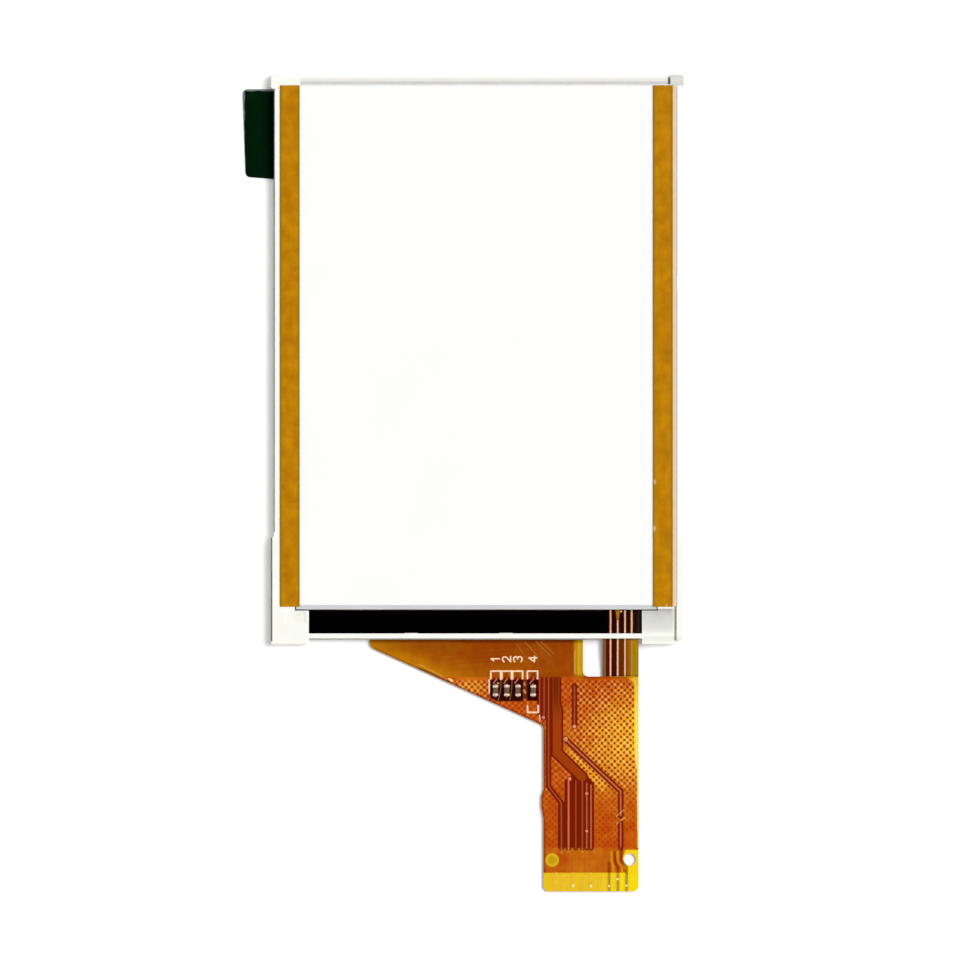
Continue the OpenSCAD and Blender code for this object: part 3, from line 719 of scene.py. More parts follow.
class Finishes(Enum):
    """The finish of each kind of piece, named for what it is made of and how."""

    # Moulded polycarbonate: white with a faint warm tint, softly satin from the mould's spark finish
    FRAME = FrameFinish(
        "moulded_polycarbonate", "fcfcf3", "f7f7ec", 2.5, 0.1, 0.001, 0.35, specular=0.18, subsurface=0.15
    )
    # Cast white polyester film: the brightest and smoothest surface
    REFLECTOR = Finish("white_polyester_film", "fdfdfc", "fbfbfa", 6.0, 0.5, 0.0005, 0.25, specular=0.15)
    # Polished acrylic plate: its edge strip looks pale grey
    GUIDE = Finish("polished_acrylic", "e6e6e7", "dcdcde", 3.0, 0.4, 0.0004, 0.12, ior=1.49, transmission=0.1)
    # Matt polyester with beads: milky
    DIFFUSER = Finish("beaded_diffuser_film", "f4f4f6", "ededf0", 2.0, 0.05, 0.002, 0.7)
    # Polyester with cast prisms, 0.05 mm apart: a cool sheen
    PRISM = Finish("prism_film", "dde3e8", "d2d9df", 2.0, 0.05, 0.004, 0.25)
    # Black polyester tape, which lets no light through: deep, hardly any sheen
    TAPE = Finish("black_polyester_tape", "020203", "010102", 1.0, 0.15, 0.0003, 0.3, specular=0.0)
    # Dyed stretched film: dark and smooth
    POLARIZER = Finish("polarizer_film", "2c2d31", "232428", 4.0, 0.3, 0.0004, 0.12)
    # Display glass, 0.4 mm: nearly clear, a cool edge
    GLASS = GlassFinish(
        "display_glass", "34383a", "282c2e", 5.0, 1.0, 0.0002, 0.05, ior=1.52, transmission=0.3
    )
    # Cured sealing resin: dull grey
    SEAL = Finish("sealing_resin", "47474a", "3b3b3e", 0.4, 0.08, 0.003, 0.7)
    # Clear protective film: glossy and faintly blue
    CLEAR = Finish("clear_protective_film", "d4dce4", "c8d2dc", 5.0, 0.8, 0.001, 0.15, transmission=0.6)
    # Green tab tape: a deep bottle green, glossy
    TAB = TabFinish("green_tab_tape", "021d08", "001605", 1.2, 0.2, 0.0003, 0.14, specular=0.04)
    # Bare lapped silicon: grey with a metal-like sheen
    SILICON = Finish("lapped_silicon", "3b3f44", "2f3338", 0.8, 0.04, 0.001, 0.3, metallic=0.4)
    # Polyimide laminate: the amber body of the circuit
    FILM = FilmFinish("polyimide_laminate", "c27a06", "a2520a", 2.5, 0.2, 0.0006, 0.14, specular=0.2)
    # Thin gold over copper
    CONTACT = ContactFinish("gold_plated_contact", "ecc224", "e2b41c", 0.5, 0.06, 0.0006, 0.2, specular=0.3)
    # Polyimide cover film over the etched copper
    COVER = CoverFilmFinish("polyimide_cover_film", "c27a06", "9c4404", 1.5, 0.25, 0.004, 0.14, specular=0.05)
    # Fired barium titanate: a dull grey-brown
    CERAMIC = Finish("fired_ceramic", "7c5c40", "5a3e28", 0.2, 0.04, 0.002, 0.35, specular=0.12)
    # Reflowed tin: bright, softly wrinkled
    TIN = Finish("reflowed_tin", "f2dfcc", "a88a74", 0.12, 0.1, 0.006, 0.3, metallic=0.3, specular=0.25)
    # Plated hole under amber film: rosy, with a soft highlight
    PLATED = Finish("filmed_copper", "f0a27c", "c06a44", 0.12, 0.08, 0.004, 0.25, specular=0.15)
    # Bare solder witness on gold: pale and bright
    WITNESS = Finish("solder_witness", "fff3c4", "f7e2a0", 0.1, 0.06, 0.002, 0.4)
    # White resin with phosphor lens
    LAMP = Finish("lamp_resin", "f2edc8", "e8e0b0", 0.8, 0.08, 0.001, 0.4)
    # Acrylic transfer adhesive: pale peach, tacky
    ADHESIVE = Finish("transfer_adhesive", "f6c58a", "efb878", 0.6, 0.1, 0.004, 0.4)
    # Coated release paper: amber, satin
    LINER = LinerFinish("release_liner", "c98a04", "b07000", 1.1, 0.12, 0.0004, 0.16, specular=0.08)
    # Screen-printed epoxy ink: warm white, slightly uneven
    INK = Finish("screen_printed_ink", "ffe2bc", "f6cba4", 0.25, 0.05, 0.003, 0.6)


# ---------------------------------------------------------------- the circuit


class Tone(Enum):
    """How brightly a conductor shows through the cover film: (glow, plain). A higher glow gives a rosy to
    cream crown, partly a painted highlight.
    """

    DEEP = (0.0, 0.0)
    PLAIN = (0.0, 1.0)
    WARM = (0.33, 1.0)
    ROSY = (0.5, 1.0)


@dataclass(frozen=True)
class Conductor:
    """A copper conductor under the cover film: its line, width and tone."""

    line: Line
    width: float = 0.15
    tone: Tone = Tone.PLAIN


@dataclass(frozen=True)
class Streak:
    """A fine line that shows through the film: its line, width, and how strongly it covers."""

    line: Line
    width: float
    share: float


@dataclass
class FilmPlan:
    """Outline of the circuit's flat film, the same as the solid's, and what lies on its back.

    Places are in the module's frame. The slot is cut into the film below the frame, beside the
    lamp leg. The left edge turns into the diagonal at the shoulder, and the ear is the small bulge
    of the tail's left edge. Ear and hole are measured from the bottom and the right edge. The cover
    film lies between cover_top and cover_end, and the contacts begin at contact_top. The gap keeps
    the net away from a conductor. The cell is the grid's spacing, and the slope is that of the
    diagonal edge, in degrees. Each mound of light has its middle, its width and height, and its
    share. The lines of the fan and of the end zone are drawn wider and fewer than the real ones,
    so that they show.
    """

    left: float = -9.6
    tail_width: float = 8.55
    leg_width: float = 3.25
    slot_width: float = 1.75
    slot_depth: float = 2.93
    under_glass: float = 0.03
    shoulder: float = 0.27
    slope: float = 24.3
    ear_up: float = 8.1
    ear_out: float = 0.2
    hole_in: float = 0.78
    hole_up: float = 2.87
    cell: float = 0.055
    lift: float = 0.004
    film_top: float = 0.61
    hole_r: float = 0.55
    cover_top: float = -28.57
    cover_end: float = -43.9
    contact_top: float = -46.18
    gap: float = 0.17
    conductors: tuple[Conductor, ...] = (
        Conductor(((6.5, -28.45), (6.5, -38.41), (7.64, -39.87), (7.66, -43.96))),
        Conductor(((6.1, -28.45), (6.1, -31.72), (6.03, -32.22))),
        Conductor(((5.7, -28.45), (5.7, -31.81)), 0.12),
        Conductor(((7.17, -28.8), (7.17, -31.6)), 0.62, Tone.DEEP),
        Conductor(((7.26, -31.4), (7.26, -35.37), (9.5, -37.56)), 0.78, Tone.DEEP),
        Conductor(((8.3, -37.9), (8.3, -43.96)), 0.17, Tone.ROSY),
        Conductor(((8.95, -37.93), (8.95, -43.96)), 0.12),
        Conductor(((9.54, -37.93), (9.54, -43.96)), 0.14),
        Conductor(((9.94, -38.12), (9.94, -43.96)), 0.12, Tone.WARM),
        Conductor(((10.32, -38.3), (10.32, -43.96)), 0.14, Tone.WARM),
        Conductor(((8.83, -29.38), (8.83, -33.02)), 0.16, Tone.PLAIN),
        Conductor(((8.02, -34.16), (12.99, -38.84), (12.99, -41.04)), 0.17, Tone.WARM),
        Conductor(((12.99, -41.71), (12.99, -43.96)), 0.15, Tone.WARM),
        Conductor(((1.73, -28.3), (1.82, -28.76), (1.54, -29.12)), 0.16, Tone.ROSY),
        Conductor(((2.72, -28.3), (2.76, -28.76), (2.48, -29.12)), 0.16, Tone.ROSY),
        Conductor(((3.71, -28.3), (3.75, -28.76), (3.47, -29.12)), 0.16, Tone.ROSY),
        Conductor(((5.1, -28.3), (5.14, -28.76), (4.83, -29.12)), 0.16, Tone.ROSY),
    )
    pale: tuple[Streak, ...] = (
        Streak(((2.24, -28.76), (2.19, -29.63), (2.09, -30.3), (1.94, -30.7)), 0.04, 0.45),
        Streak(((3.22, -28.85), (3.17, -29.79), (3.02, -30.65)), 0.04, 0.4),
        # Painted glint at the top end of the first capacitor's solder
        Streak(((1.9, -29.1), (2.02, -29.16)), 0.1, 0.9),
        # Painted highlights: two rosy spots between the third and fourth capacitors
        Streak(((4.31, -29.15), (4.37, -29.27)), 0.18, 0.3),
        Streak(((4.3, -29.78), (4.38, -29.95)), 0.22, 0.33),
        Streak(((12.6, -41.1), (13.3, -40.5)), 0.09, 0.32),
        Streak(((12.6, -41.8), (13.35, -41.2)), 0.09, 0.32),
        Streak(((-5.16, -27.4), (-2.5, -28.82)), 0.08, 0.26),
        # Painted glint at the end of the dash
        Streak(((-2.42, -28.74), (-2.12, -28.94)), 0.17, 0.9),
        Streak(((3.66, -25.7), (4.56, -26.87)), 0.07, 0.1),
        Streak(((4.38, -25.42), (5.46, -26.6)), 0.07, 0.16),
        Streak(((5.37, -25.38), (6.72, -26.69)), 0.07, 0.15),
        Streak(((5.82, -25.38), (6.99, -26.5)), 0.07, 0.13),
        Streak(((8.86, -26.2), (8.86, -28.2)), 0.08, 0.3),
        Streak(((14.1, -28.78), (14.3, -29.0), (14.36, -29.5), (14.4, -30.6)), 0.08, 0.45),
        Streak(((14.4, -30.8), (14.43, -36.6)), 0.2, 0.55), Streak(((14.5, -36.6), (14.52, -42.3)), 0.1, 0.4),
        Streak(((7.66, -44.0), (7.7, -44.45)), 0.12, 0.18), Streak(((8.3, -44.0), (8.3, -44.3)), 0.12, 0.2),
        Streak(((9.54, -44.0), (9.56, -44.35)), 0.1, 0.16), Streak(((10.6, -44.1), (10.6, -44.5)), 0.1, 0.15),
        Streak(((7.2, -46.25), (7.2, -47.7)), 0.22, 0.3), Streak(((8.7, -46.25), (8.7, -47.7)), 0.2, 0.25),
        Streak(((10.3, -46.25), (10.3, -47.7)), 0.2, 0.25),
    )
    dark: tuple[Streak, ...] = (
        Streak(((-5.07, -27.8), (-4.2, -28.16), (-3.35, -28.56)), 0.16, 0.6),
        Streak(((-3.27, -26.64), (2.85, -26.24)), 0.1, 0.16),
        Streak(((-2.73, -27.0), (2.13, -26.69)), 0.1, 0.2),
        Streak(((-2.19, -27.41), (1.41, -27.14)), 0.1, 0.18),
        Streak(((-1.29, -27.86), (1.23, -27.68)), 0.1, 0.18),
        Streak(((-0.57, -26.15), (3.93, -25.79)), 0.12, 0.16),
        Streak(((3.2, -25.9), (8.3, -25.75)), 0.12, 0.14),
        Streak(((9.05, -25.5), (9.05, -28.4)), 0.1, 0.4), Streak(((8.65, -26.0), (8.65, -28.4)), 0.08, 0.3),
        Streak(((9.32, -26.8), (9.32, -28.2)), 0.06, 0.2),
        # Painted shadow: a dark line along the net's top edge, below the slot's bottom
        Streak(((9.7, -28.62), (14.0, -28.62)), 0.12, 0.5),
        Streak(((1.77, -28.3), (1.77, -28.6)), 0.3, 0.3), Streak(((2.67, -28.3), (2.67, -28.6)), 0.3, 0.55),
        Streak(((3.71, -28.3), (3.71, -28.6)), 0.3, 0.5), Streak(((5.06, -28.3), (5.06, -28.6)), 0.3, 0.4),
        Streak(((11.94, -45.3), (11.94, -46.2)), 0.28, 0.6),
        Streak(((11.94, -46.2), (11.94, -47.79)), 0.2, 0.35),
        Streak(((12.4, -44.3), (12.54, -45.29), (12.75, -45.73), (12.74, -46.2)), 0.24, 0.65),
        Streak(((12.74, -46.2), (12.73, -47.77)), 0.2, 0.35),
        Streak(((13.05, -43.88), (13.05, -44.99), (13.53, -45.65), (13.52, -46.3)), 0.26, 0.7),
        Streak(((13.52, -46.3), (13.5, -47.77)), 0.22, 0.42),
        *(
            Streak(((x, -44.1), (x, -46.0)), 0.07, 0.22)
            for x in (7.97, 8.6, 9.25, 9.75, 10.15, 10.85, 11.12, 11.4)
        ),
    )
    strip: float = 0.4
    strip_low: float = 0.15
    strip_corner: float = 1.0
    disc: Point = (6.83, -45.03)
    lane: Line = ((8.3, -35.4), (11.4, -38.4))
    mounds: tuple[tuple[float, ...], ...] = ((14.2, -34.2, 4.4, 4.2, 1.0), (-0.6, -29.4, 1.6, 0.9, 0.5))
    glimmers: tuple[Line, ...] = (
        ((12.17, -44.3), (12.17, -45.2), (12.33, -45.6), (12.33, -46.2)),
        ((12.72, -44.3), (12.72, -45.2), (13.1, -45.65), (13.12, -46.2)),
    )
    bare_gaps: tuple[Line, ...] = (
        ((7.34, -40.0), (7.34, -43.95), (10.6, -43.95), (10.6, -38.16), (10.05, -37.53), (9.51, -37.08),
         (8.52, -37.48), (7.93, -37.93), (7.93, -39.78)),
        ((5.46, -28.75), (5.46, -31.9), (6.1, -32.45), (6.85, -31.9), (6.85, -28.75)),
    )
    # Dark places round the capacitors: the net stops in them, and their darkness is the capacitors' painted
    # shadow
    shadowed_pits: tuple[Line, ...] = (
        ((1.25, -28.8), (1.25, -30.42), (1.86, -30.74), (4.2, -30.74), (4.2, -28.8)),
        ((4.55, -28.8), (4.55, -30.7), (5.55, -30.7), (5.55, -28.8)),
    )
    column: Line = ((4.15, -28.8), (4.15, -30.55), (4.6, -30.55), (4.6, -28.8))

    def __post_init__(self) -> None:
        """Reads the film's box and works out its two sides."""
        low, high = np.array(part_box("main_flex")) / MM
        self.bottom, self.right = float(low[1]), float(high[0])
        frame_low = float(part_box("moulded_frame")[0][1] / MM)
        self.glass_end = float(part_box("array_glass")[0][1] / MM) - self.under_glass
        self.slot_bottom = frame_low - self.slot_depth
        self.slot_side = self.right - self.leg_width - self.slot_width
        tail = self.right - self.tail_width
        top = frame_low - self.shoulder
        foot = top - (tail - self.left) * math.tan(math.radians(self.slope))
        ear = self.bottom + self.ear_up
        self.hole = (self.right - self.hole_in, self.bottom + self.hole_up)
        out = tail - self.ear_out
        self.left_side = rounded([
            (self.left, self.glass_end, 0), (self.left, top, 0.7), (tail, foot, 0.5),
            (tail, ear + 1.05, 0.8), (out, ear + 0.45, 0.8), (out, ear - 0.45, 0.8),
            (tail, ear - 1.6, 0.8), (tail, self.bottom, 0.5), (self.right, self.bottom, 0),
        ])[:-1]
        self.right_side = rounded([
            (tail, self.bottom, 0), (self.right, self.bottom, 0.5), (self.right, self.slot_bottom, 0),
            (self.slot_side, self.slot_bottom, 0.5), (self.slot_side, self.glass_end, 0),
        ])[1:]

    def side(self, y: Array, line: Line) -> Array:
        """X of one side of the film at each Y, read off its bent line."""
        points = np.array(sorted(line, key=lambda p: p[1]))
        return np.interp(y, points[:, 1], points[:, 0])

    def copper(self, x: Array, y: Array) -> tuple[Array, Array, Array]:
        """Distance to the nearest conductor's edge, and that conductor's tone.

        Args:
            x: places along X.
            y: places along Y.

        Returns:
            The distance, negative on the copper, with the glow and the plainness of its tone.
        """
        edge, glow, plain = np.full(x.shape, FAR), np.zeros(x.shape), np.ones(x.shape)
        for conductor in self.conductors:
            here = reach(x, y, conductor.line) - conductor.width / 2
            nearer = here < edge
            edge = np.where(nearer, here, edge)
            glow = np.where(nearer, conductor.tone.value[0], glow)
            plain = np.where(nearer, conductor.tone.value[1], plain)
        return edge, glow, plain

    def shield(self, x: Array, y: Array, edge: Array) -> Array:
        """Distance into the copper net, positive on it.

        Args:
            x: places along X.
            y: places along Y.
            edge: distance to the nearest conductor's edge.

        Returns:
            The least of the distances past each conductor's gap and past each bare place.
        """
        into = edge - self.gap
        for outline in (*self.bare_gaps, *self.shadowed_pits):
            into = np.minimum(into, -within(x, y, outline))
        return into

    def step(self, y: Array, at: float, blur: float = 0.05) -> Array:
        """Rises from 0 below a place along Y to 1 above it."""
        return smooth(y, at - blur, at + blur)

    def bares(self, x: Array, y: Array) -> dict[str, Array]:
        """Where the cover film is missing or thin, so that gold shows.

        Args:
            x: places along X.
            y: places along Y.

        Returns:
            The share of gold at the contacts, at the collar round the guide hole, at the closed
            disc, along the pale strip at the right edge, which turns the upper corner, beside the
            slot, and along the two glimmers above the contacts.
        """
        hx, hy = self.hole
        collar = smooth(x - 0.35 * np.minimum(np.abs(y - hy), 1.0), hx - 0.78, hx - 0.6)
        away = self.from_disc(x, y)
        inner = self.right - self.strip_low - (self.strip - self.strip_low) * smooth(y, -37.5, -35.0)
        over_x = np.maximum(x - inner + self.strip_corner, 0)
        over_y = np.maximum(y - self.cover_top + self.strip_corner, 0)
        strip = smooth(np.hypot(over_x, over_y) - self.strip_corner, -0.04, 0.05)
        strip = strip * (0.5 + 0.4 * smooth(y, -29.0, -31.5) + 0.3 * (y > -36))
        glimmer = 1 - smooth(np.minimum.reduce([reach(x, y, line) for line in self.glimmers]), 0.04, 0.14)
        return {
            "contact": 1 - self.step(y, self.contact_top),
            "collar": collar * (1 - smooth(y, hy + 0.82, hy + 0.9)),
            "disc": (0.8 + 0.06 * smooth(away, 0.3, 0.5)) * (1 - smooth(away, 0.56, 0.64)),
            "strip": np.clip(strip, 0, 0.92) * (y > self.cover_end) * (x > 12),
            "slot": smooth(x, 8.6, 9.2) * smooth(y, self.cover_top - 0.1, self.cover_top + 0.4) * 0.8,
            "glimmer": 0.42 * glimmer * (y > self.contact_top),
        }

    def from_disc(self, x: Array, y: Array) -> Array:
        """Distance from the middle of the closed disc at the tail's end."""
        return np.hypot(x - self.disc[0], y - self.disc[1])

    def tint(self, x: Array, y: Array, bares: dict[str, Array], lane: Array) -> Array:
        """How light the film is, which depends on what lies below it.

        Args:
            x: places along X.
            y: places along Y.
            bares: what bares gives there.
            lane: the share of the light lane beside the diagonal conductors.

        Returns:
            Shares from 0 to 1. Over the net they are soft mounds, where more light comes through
            from the table. Above the net the film darkens from left to right.
        """
        mounds = [
            share * np.exp(-(((x - mx) / width) ** 2) - ((y - my) / height) ** 2)
            for mx, my, width, height, share in self.mounds
        ]
        corner = 0.45 * smooth(y, -32.0, -29.5) * (1 - smooth(x, 12.0, 13.2))
        cover = np.clip(mounds[0] * (1 - corner) + mounds[1] + lane, 0, 1)
        film = np.clip(0.56 - (x + 9) / 17, 0.04, 0.6) + 0.5 * np.exp(-(self.rim(x, y) / 0.9) ** 2) * (x < 3)
        film = film + 0.25 * smooth(y, -26.3, -28.3) * (x < 5)
        end = 0.12 + 0.12 * smooth(x, 7, 10) * (1 - smooth(x, 11, 12.5))
        end = end + bares["contact"] * (0.1 + smooth(x, 10.5, 14))
        end = end + 0.7 * bares["collar"] + 0.3 * (bares["disc"] > 0.1)
        return np.clip(np.where(y > self.cover_top, film, np.where(y < self.cover_end, end, cover)), 0, 1)

    def contrast(self, x: Array, y: Array, lane: Array) -> Array:
        """How clearly the net shows: best below and right of the bundle, and nowhere off the net."""
        clear = 0.48 + 0.52 * smooth(y, -40.0, -37.0) * smooth(x, 8.0, 9.5) + 0.45 * (x < 2) + 0.3 * lane
        clear = clear * smooth(self.cover_top - y, 0.15, 0.5) * self.step(y, self.cover_end)
        return clear * (1 - smooth(x, 13.3, 13.4) * (1 - self.step(y, -42.4)))

    def shade(self, x: Array, y: Array, disc: Array, edge: Array, plain: Array) -> Array:
        """How much darker each place is than its tone.

        Args:
            x: places along X.
            y: places along Y.
            disc: the share of gold at the closed disc.
            edge: distance to the nearest conductor's edge.
            plain: the plainness of that conductor's tone.

        Returns:
            Shares from 0 to 1: strongest in the dark places round the capacitors, the capacitors' painted
                shadow, and in the column between the third and fourth, then painted shade under the frame and
                next to it, and darker on the disc, along the left outline and by the slot. Conductors keep a
                quarter of it, and deep ones gain some towards their upper end.
        """
        shadowed_pit = np.maximum.reduce([within(x, y, outline) for outline in self.shadowed_pits])
        toward = (1 - 0.6 * smooth(x, -4.0, 0.0)) * (1 - smooth(x, 8.4, 8.8))
        outline = 1 - smooth(np.abs(reach(x, y, self.left_side) - 0.06), 0.03, 0.1)
        dark = np.maximum.reduce([
            0.9 * smooth(shadowed_pit, -0.1, 0.08),
            0.5 * smooth(y, self.glass_end - 0.4, self.glass_end - 0.15),
            0.72 * smooth(within(x, y, self.column), -0.05, 0.06),
            0.22 * toward * smooth(y, self.glass_end - 1.7, self.glass_end - 0.3),
            (0.32 - 0.2 * smooth(self.from_disc(x, y), 0.3, 0.5)) * (disc > 0.1),
            0.5 * outline * (y > self.contact_top) * (y < -26.0),
            0.2 * smooth(y, -29.0, -28.7) * smooth(x, 9.2, 9.4) * (1 - smooth(x, 10.4, 10.8)),
        ])
        deep = (plain < 0.5) * (edge < -0.05)
        return np.where(edge < 0, 0.25 * dark, dark) + 0.55 * deep * smooth(y, -33.0, -29.5)

    def values(self, x: Array, y: Array) -> dict[str, Array]:
        """Everything that the finish reads, at each place on the film.

        Args:
            x: places along X.
            y: places along Y.

        Returns:
            Distances in millimetres and shares from 0 to 1. There is hardly any shade on a pale streak, since
            several of them are painted glints.
        """
        edge, glow, plain = self.copper(x, y)
        bares = self.bares(x, y)
        lane = 0.5 * np.exp(-((reach(x, y, self.lane) / 0.45) ** 2))
        tint = self.tint(x, y, bares, lane)
        contrast = self.contrast(x, y, lane)
        end_zone = 0.25 * (1 - self.step(y, self.cover_end, 0.04))
        shade = self.shade(x, y, bares["disc"], edge, plain)
        extra = {}
        for name, streaks in (("pale", self.pale), ("dark", self.dark)):
            near, share = np.full(x.shape, FAR), np.zeros(x.shape)
            for streak in streaks:
                here = reach(x, y, streak.line) - streak.width / 2
                share = np.where(here < near, streak.share, share)
                near = np.minimum(near, here)
            extra |= {f"{name}_edge": near, f"{name}_share": share}
        bares["collar"] = 0.95 * bares["collar"] * (y < self.cover_end)
        return extra | {
            "copper_edge": edge, "shield_edge": self.shield(x, y, edge), "glow": glow, "plain": plain,
            "smooth_zone": np.maximum(self.step(y, self.cover_top), end_zone), "tint": tint,
            "bare": np.clip(np.maximum.reduce([*bares.values()]), 0, 1), "contrast": np.clip(contrast, 0, 1),
            "sparkle": np.clip(contrast * smooth(y, -42.0, -37.2), 0, 1),
            "shade": np.where(extra["pale_edge"] < 0.02, 0.2 * shade, shade),
        }

    def rim(self, x: Array, y: Array) -> Array:
        """Distance to the film's outline."""
        return np.minimum(reach(x, y, self.left_side), reach(x, y, self.right_side))

    def relief(self, x: Array, y: Array, values: dict[str, Array]) -> Array:
        """Height of the cover film above the base film.

        Args:
            x: places along X.
            y: places along Y.
            values: what values gives there.

        Returns:
            The lift, plus 0.007 mm of cover film and 0.006 mm over copper, with soft shoulders.
            Both fall to nothing at the film's rim and where there is no cover film.
        """
        on_copper = 1 - smooth(values["copper_edge"], -0.06, 0.06)
        over = np.maximum(on_copper, smooth(values["shield_edge"], -0.06, 0.06))
        cover = (1 - values["smooth_zone"]) * self.step(y, self.contact_top)
        return self.lift + smooth(self.rim(x, y), 0, 0.09) * cover * (0.007 + 0.006 * over)

    def level(self, x: Array, y: Array) -> Array:
        """Z of the cover film's outer side at each place."""
        return self.film_top + self.relief(x, y, self.values(x, y))

    def shape(self) -> Shape:
        """The skin over the flat film.

        Returns:
            Rows of points across the film, each clamped between its two sides at that Y, so that
            the border is the film's own outline. Faces whose middle is in the guide hole go, and the
            points round the place that they leave move onto its rim.
        """
        columns = np.arange(self.left, self.right + self.cell, self.cell)
        blocks = []
        lower = tuple(p for p in self.right_side if p[0] > self.right - 0.6)
        inner = tuple(p for p in self.right_side if p[0] < self.right - 1e-6)
        upper = tuple(p for p in inner if p[1] > self.slot_bottom - 1e-6)
        for first, last, right in (
            (self.bottom, self.slot_bottom, lower), (self.slot_bottom, self.glass_end, upper),
        ):
            rows = np.linspace(first, last, round((last - first) / self.cell))
            y, x = np.meshgrid(rows, columns, indexing="ij")
            low, high = self.side(rows, self.left_side), self.side(rows, right)
            x = np.clip(x, low[:, None], high[:, None])
            points = np.stack([x, y, y * 0], -1).reshape(-1, 3)
            blocks.append(Shape(points, grid_faces(len(rows), len(columns))))
        skin = blocks[0].joined(blocks[1])
        centre = skin.points[skin.faces].mean(1)[:, :2]
        kept = np.hypot(*(centre - self.hole).T) > self.hole_r
        border = np.intersect1d(skin.faces[kept], skin.faces[~kept])
        away = skin.points[border, :2] - self.hole
        skin.points[border, :2] = self.hole + away / np.hypot(*away.T)[:, None] * self.hole_r
        skin.faces = skin.faces[kept]
        used, renumber = np.unique(skin.faces, return_inverse=True)
        points = skin.points[used]
        values = self.values(points[:, 0], points[:, 1])
        points[:, 2] = self.film_top + self.relief(points[:, 0], points[:, 1], values)
        return Shape(points, renumber.reshape(-1, 4), values)


@dataclass
class LampLeg:
    """The skin over the leg that climbs behind the glass to the lamps, with its four conductors.

    The numbers in across are places along X. At those places, dims, yellows and tints give how
    much the film between the conductors is shaded, bare and light. The wedge and the dot are two
    small places on the bar.
    """

    plan: FilmPlan
    cell: float = 0.06
    lines: tuple[float, ...] = (12.07, 12.72, 13.37, 13.97)
    line_width: float = 0.15
    bends: int = 14
    across: tuple[float, ...] = (11.35, 12.0, 12.15, 12.64, 12.8, 13.3, 13.45, 13.94, 14.1, 14.6)
    dims: tuple[float, ...] = (0.55, 0.6, 0.88, 0.88, 0.62, 0.6, 0.42, 0.3, 0.1, 0.15)
    yellows: tuple[float, ...] = (0.0, 0.0, 0.0, 0.0, 0.0, 0.0, 0.03, 0.2, 0.34, 0.4)
    tints: tuple[float, ...] = (0.3, 0.3, 0.0, 0.0, 0.0, 0.05, 0.25, 0.6, 0.9, 1.0)
    wedge: Line = ((12.46, -22.4), (12.98, -22.4), (12.79, -23.38), (12.64, -23.38))
    dot: Point = (13.03, -22.66)
    dot_r: float = 0.1
    pale_x: float = 11.52

    def shape(self) -> Shape:
        """The skin.

        Returns:
            A grid across and along the leg, at the height of the solid's own climb, which is
            half a cosine wave in straight pieces, plus 0.006 mm of film and 0.008 mm over each
            conductor. The last conductor ends where the leg goes inside the frame.
        """
        plan = self.plan
        high = np.array(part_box("main_flex"))[1] / MM
        rise, end = float(high[2]) - plan.film_top, float(high[1])
        top = float(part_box("moulded_frame")[0][1] / MM) + 0.15
        rows = np.linspace(plan.slot_bottom, end, round((end - plan.slot_bottom) / self.cell))
        columns = np.linspace(plan.right - plan.leg_width, plan.right, round(plan.leg_width / self.cell))
        y, x = np.meshgrid(rows, columns, indexing="ij")
        knots = np.linspace(plan.slot_bottom, top, self.bends + 1)
        climb = rise * (1 - np.cos(math.pi * (knots - knots[0]) / (knots[-1] - knots[0]))) / 2
        # Past the frame's bottom rail the leg lies in the dark window, where painted shade of 0.99 darkens
        # the film between the conductors
        inside = smooth(y, -25.3, -25.0)
        gaps = [np.abs(x - line) - self.line_width / 2 for line in self.lines]
        faint = gaps[3] + inside
        gaps[3] = gaps[3] + 1 - inside
        gap = np.min(gaps, 0)
        rim = np.minimum(x - columns[0], columns[-1] - x)
        on = (1 - smooth(gap, -0.05, 0.05)) * smooth(y, plan.slot_bottom, plan.slot_bottom + 0.15)
        level = plan.film_top + np.interp(y, knots, climb) + plan.lift
        z = level + 0.008 * smooth(rim, 0, 0.1) * on + 0.006 * smooth(rim, 0, 0.1)
        dim, yellow, tint = (np.interp(x, self.across, v) for v in (self.dims, self.yellows, self.tints))
        wedge = smooth(within(x, y, self.wedge), -0.03, 0.03)
        dot = np.hypot(x - self.dot[0], y - self.dot[1]) - self.dot_r
        left = np.abs(x - self.pale_x) - 0.14
        between = smooth(gap, 0.0, 0.06)
        dull = (0.12 + 0.3 * smooth(x, 13.6, 13.9)) * smooth(x, 13.0, 13.2) * (1 - inside)
        shade = np.maximum(smooth(gap, 0.0, 0.05) * np.maximum(dim, 0.99 * inside), dull)
        none = np.zeros(x.shape)
        values = {
            "copper_edge": np.where(wedge > 0.5, 1.0, gap), "shield_edge": none - 1, "glow": none + 1,
            "plain": none + 1, "smooth_zone": np.maximum(between * smooth(x, 11.9, 12.9), wedge),
            "bare": yellow * (1 - inside) * between, "tint": np.maximum(tint, wedge), "contrast": none,
            "sparkle": none, "shade": shade * (1 - 0.72 * wedge) * smooth(dot, -0.02, 0.02),
            "dark_edge": np.abs(y - plan.slot_bottom - 0.06) - 0.05, "dark_share": none + 0.6,
            "pale_edge": np.minimum.reduce([dot, left, faint]),
            "pale_share": np.where(dot < np.minimum(left, faint), 0.85, 0.3),
        }
        points = np.stack([x, y, z], -1).reshape(-1, 3)
        flat = {name: value.reshape(-1) for name, value in values.items()}
        return Shape(points, grid_faces(len(rows), len(columns)), flat)


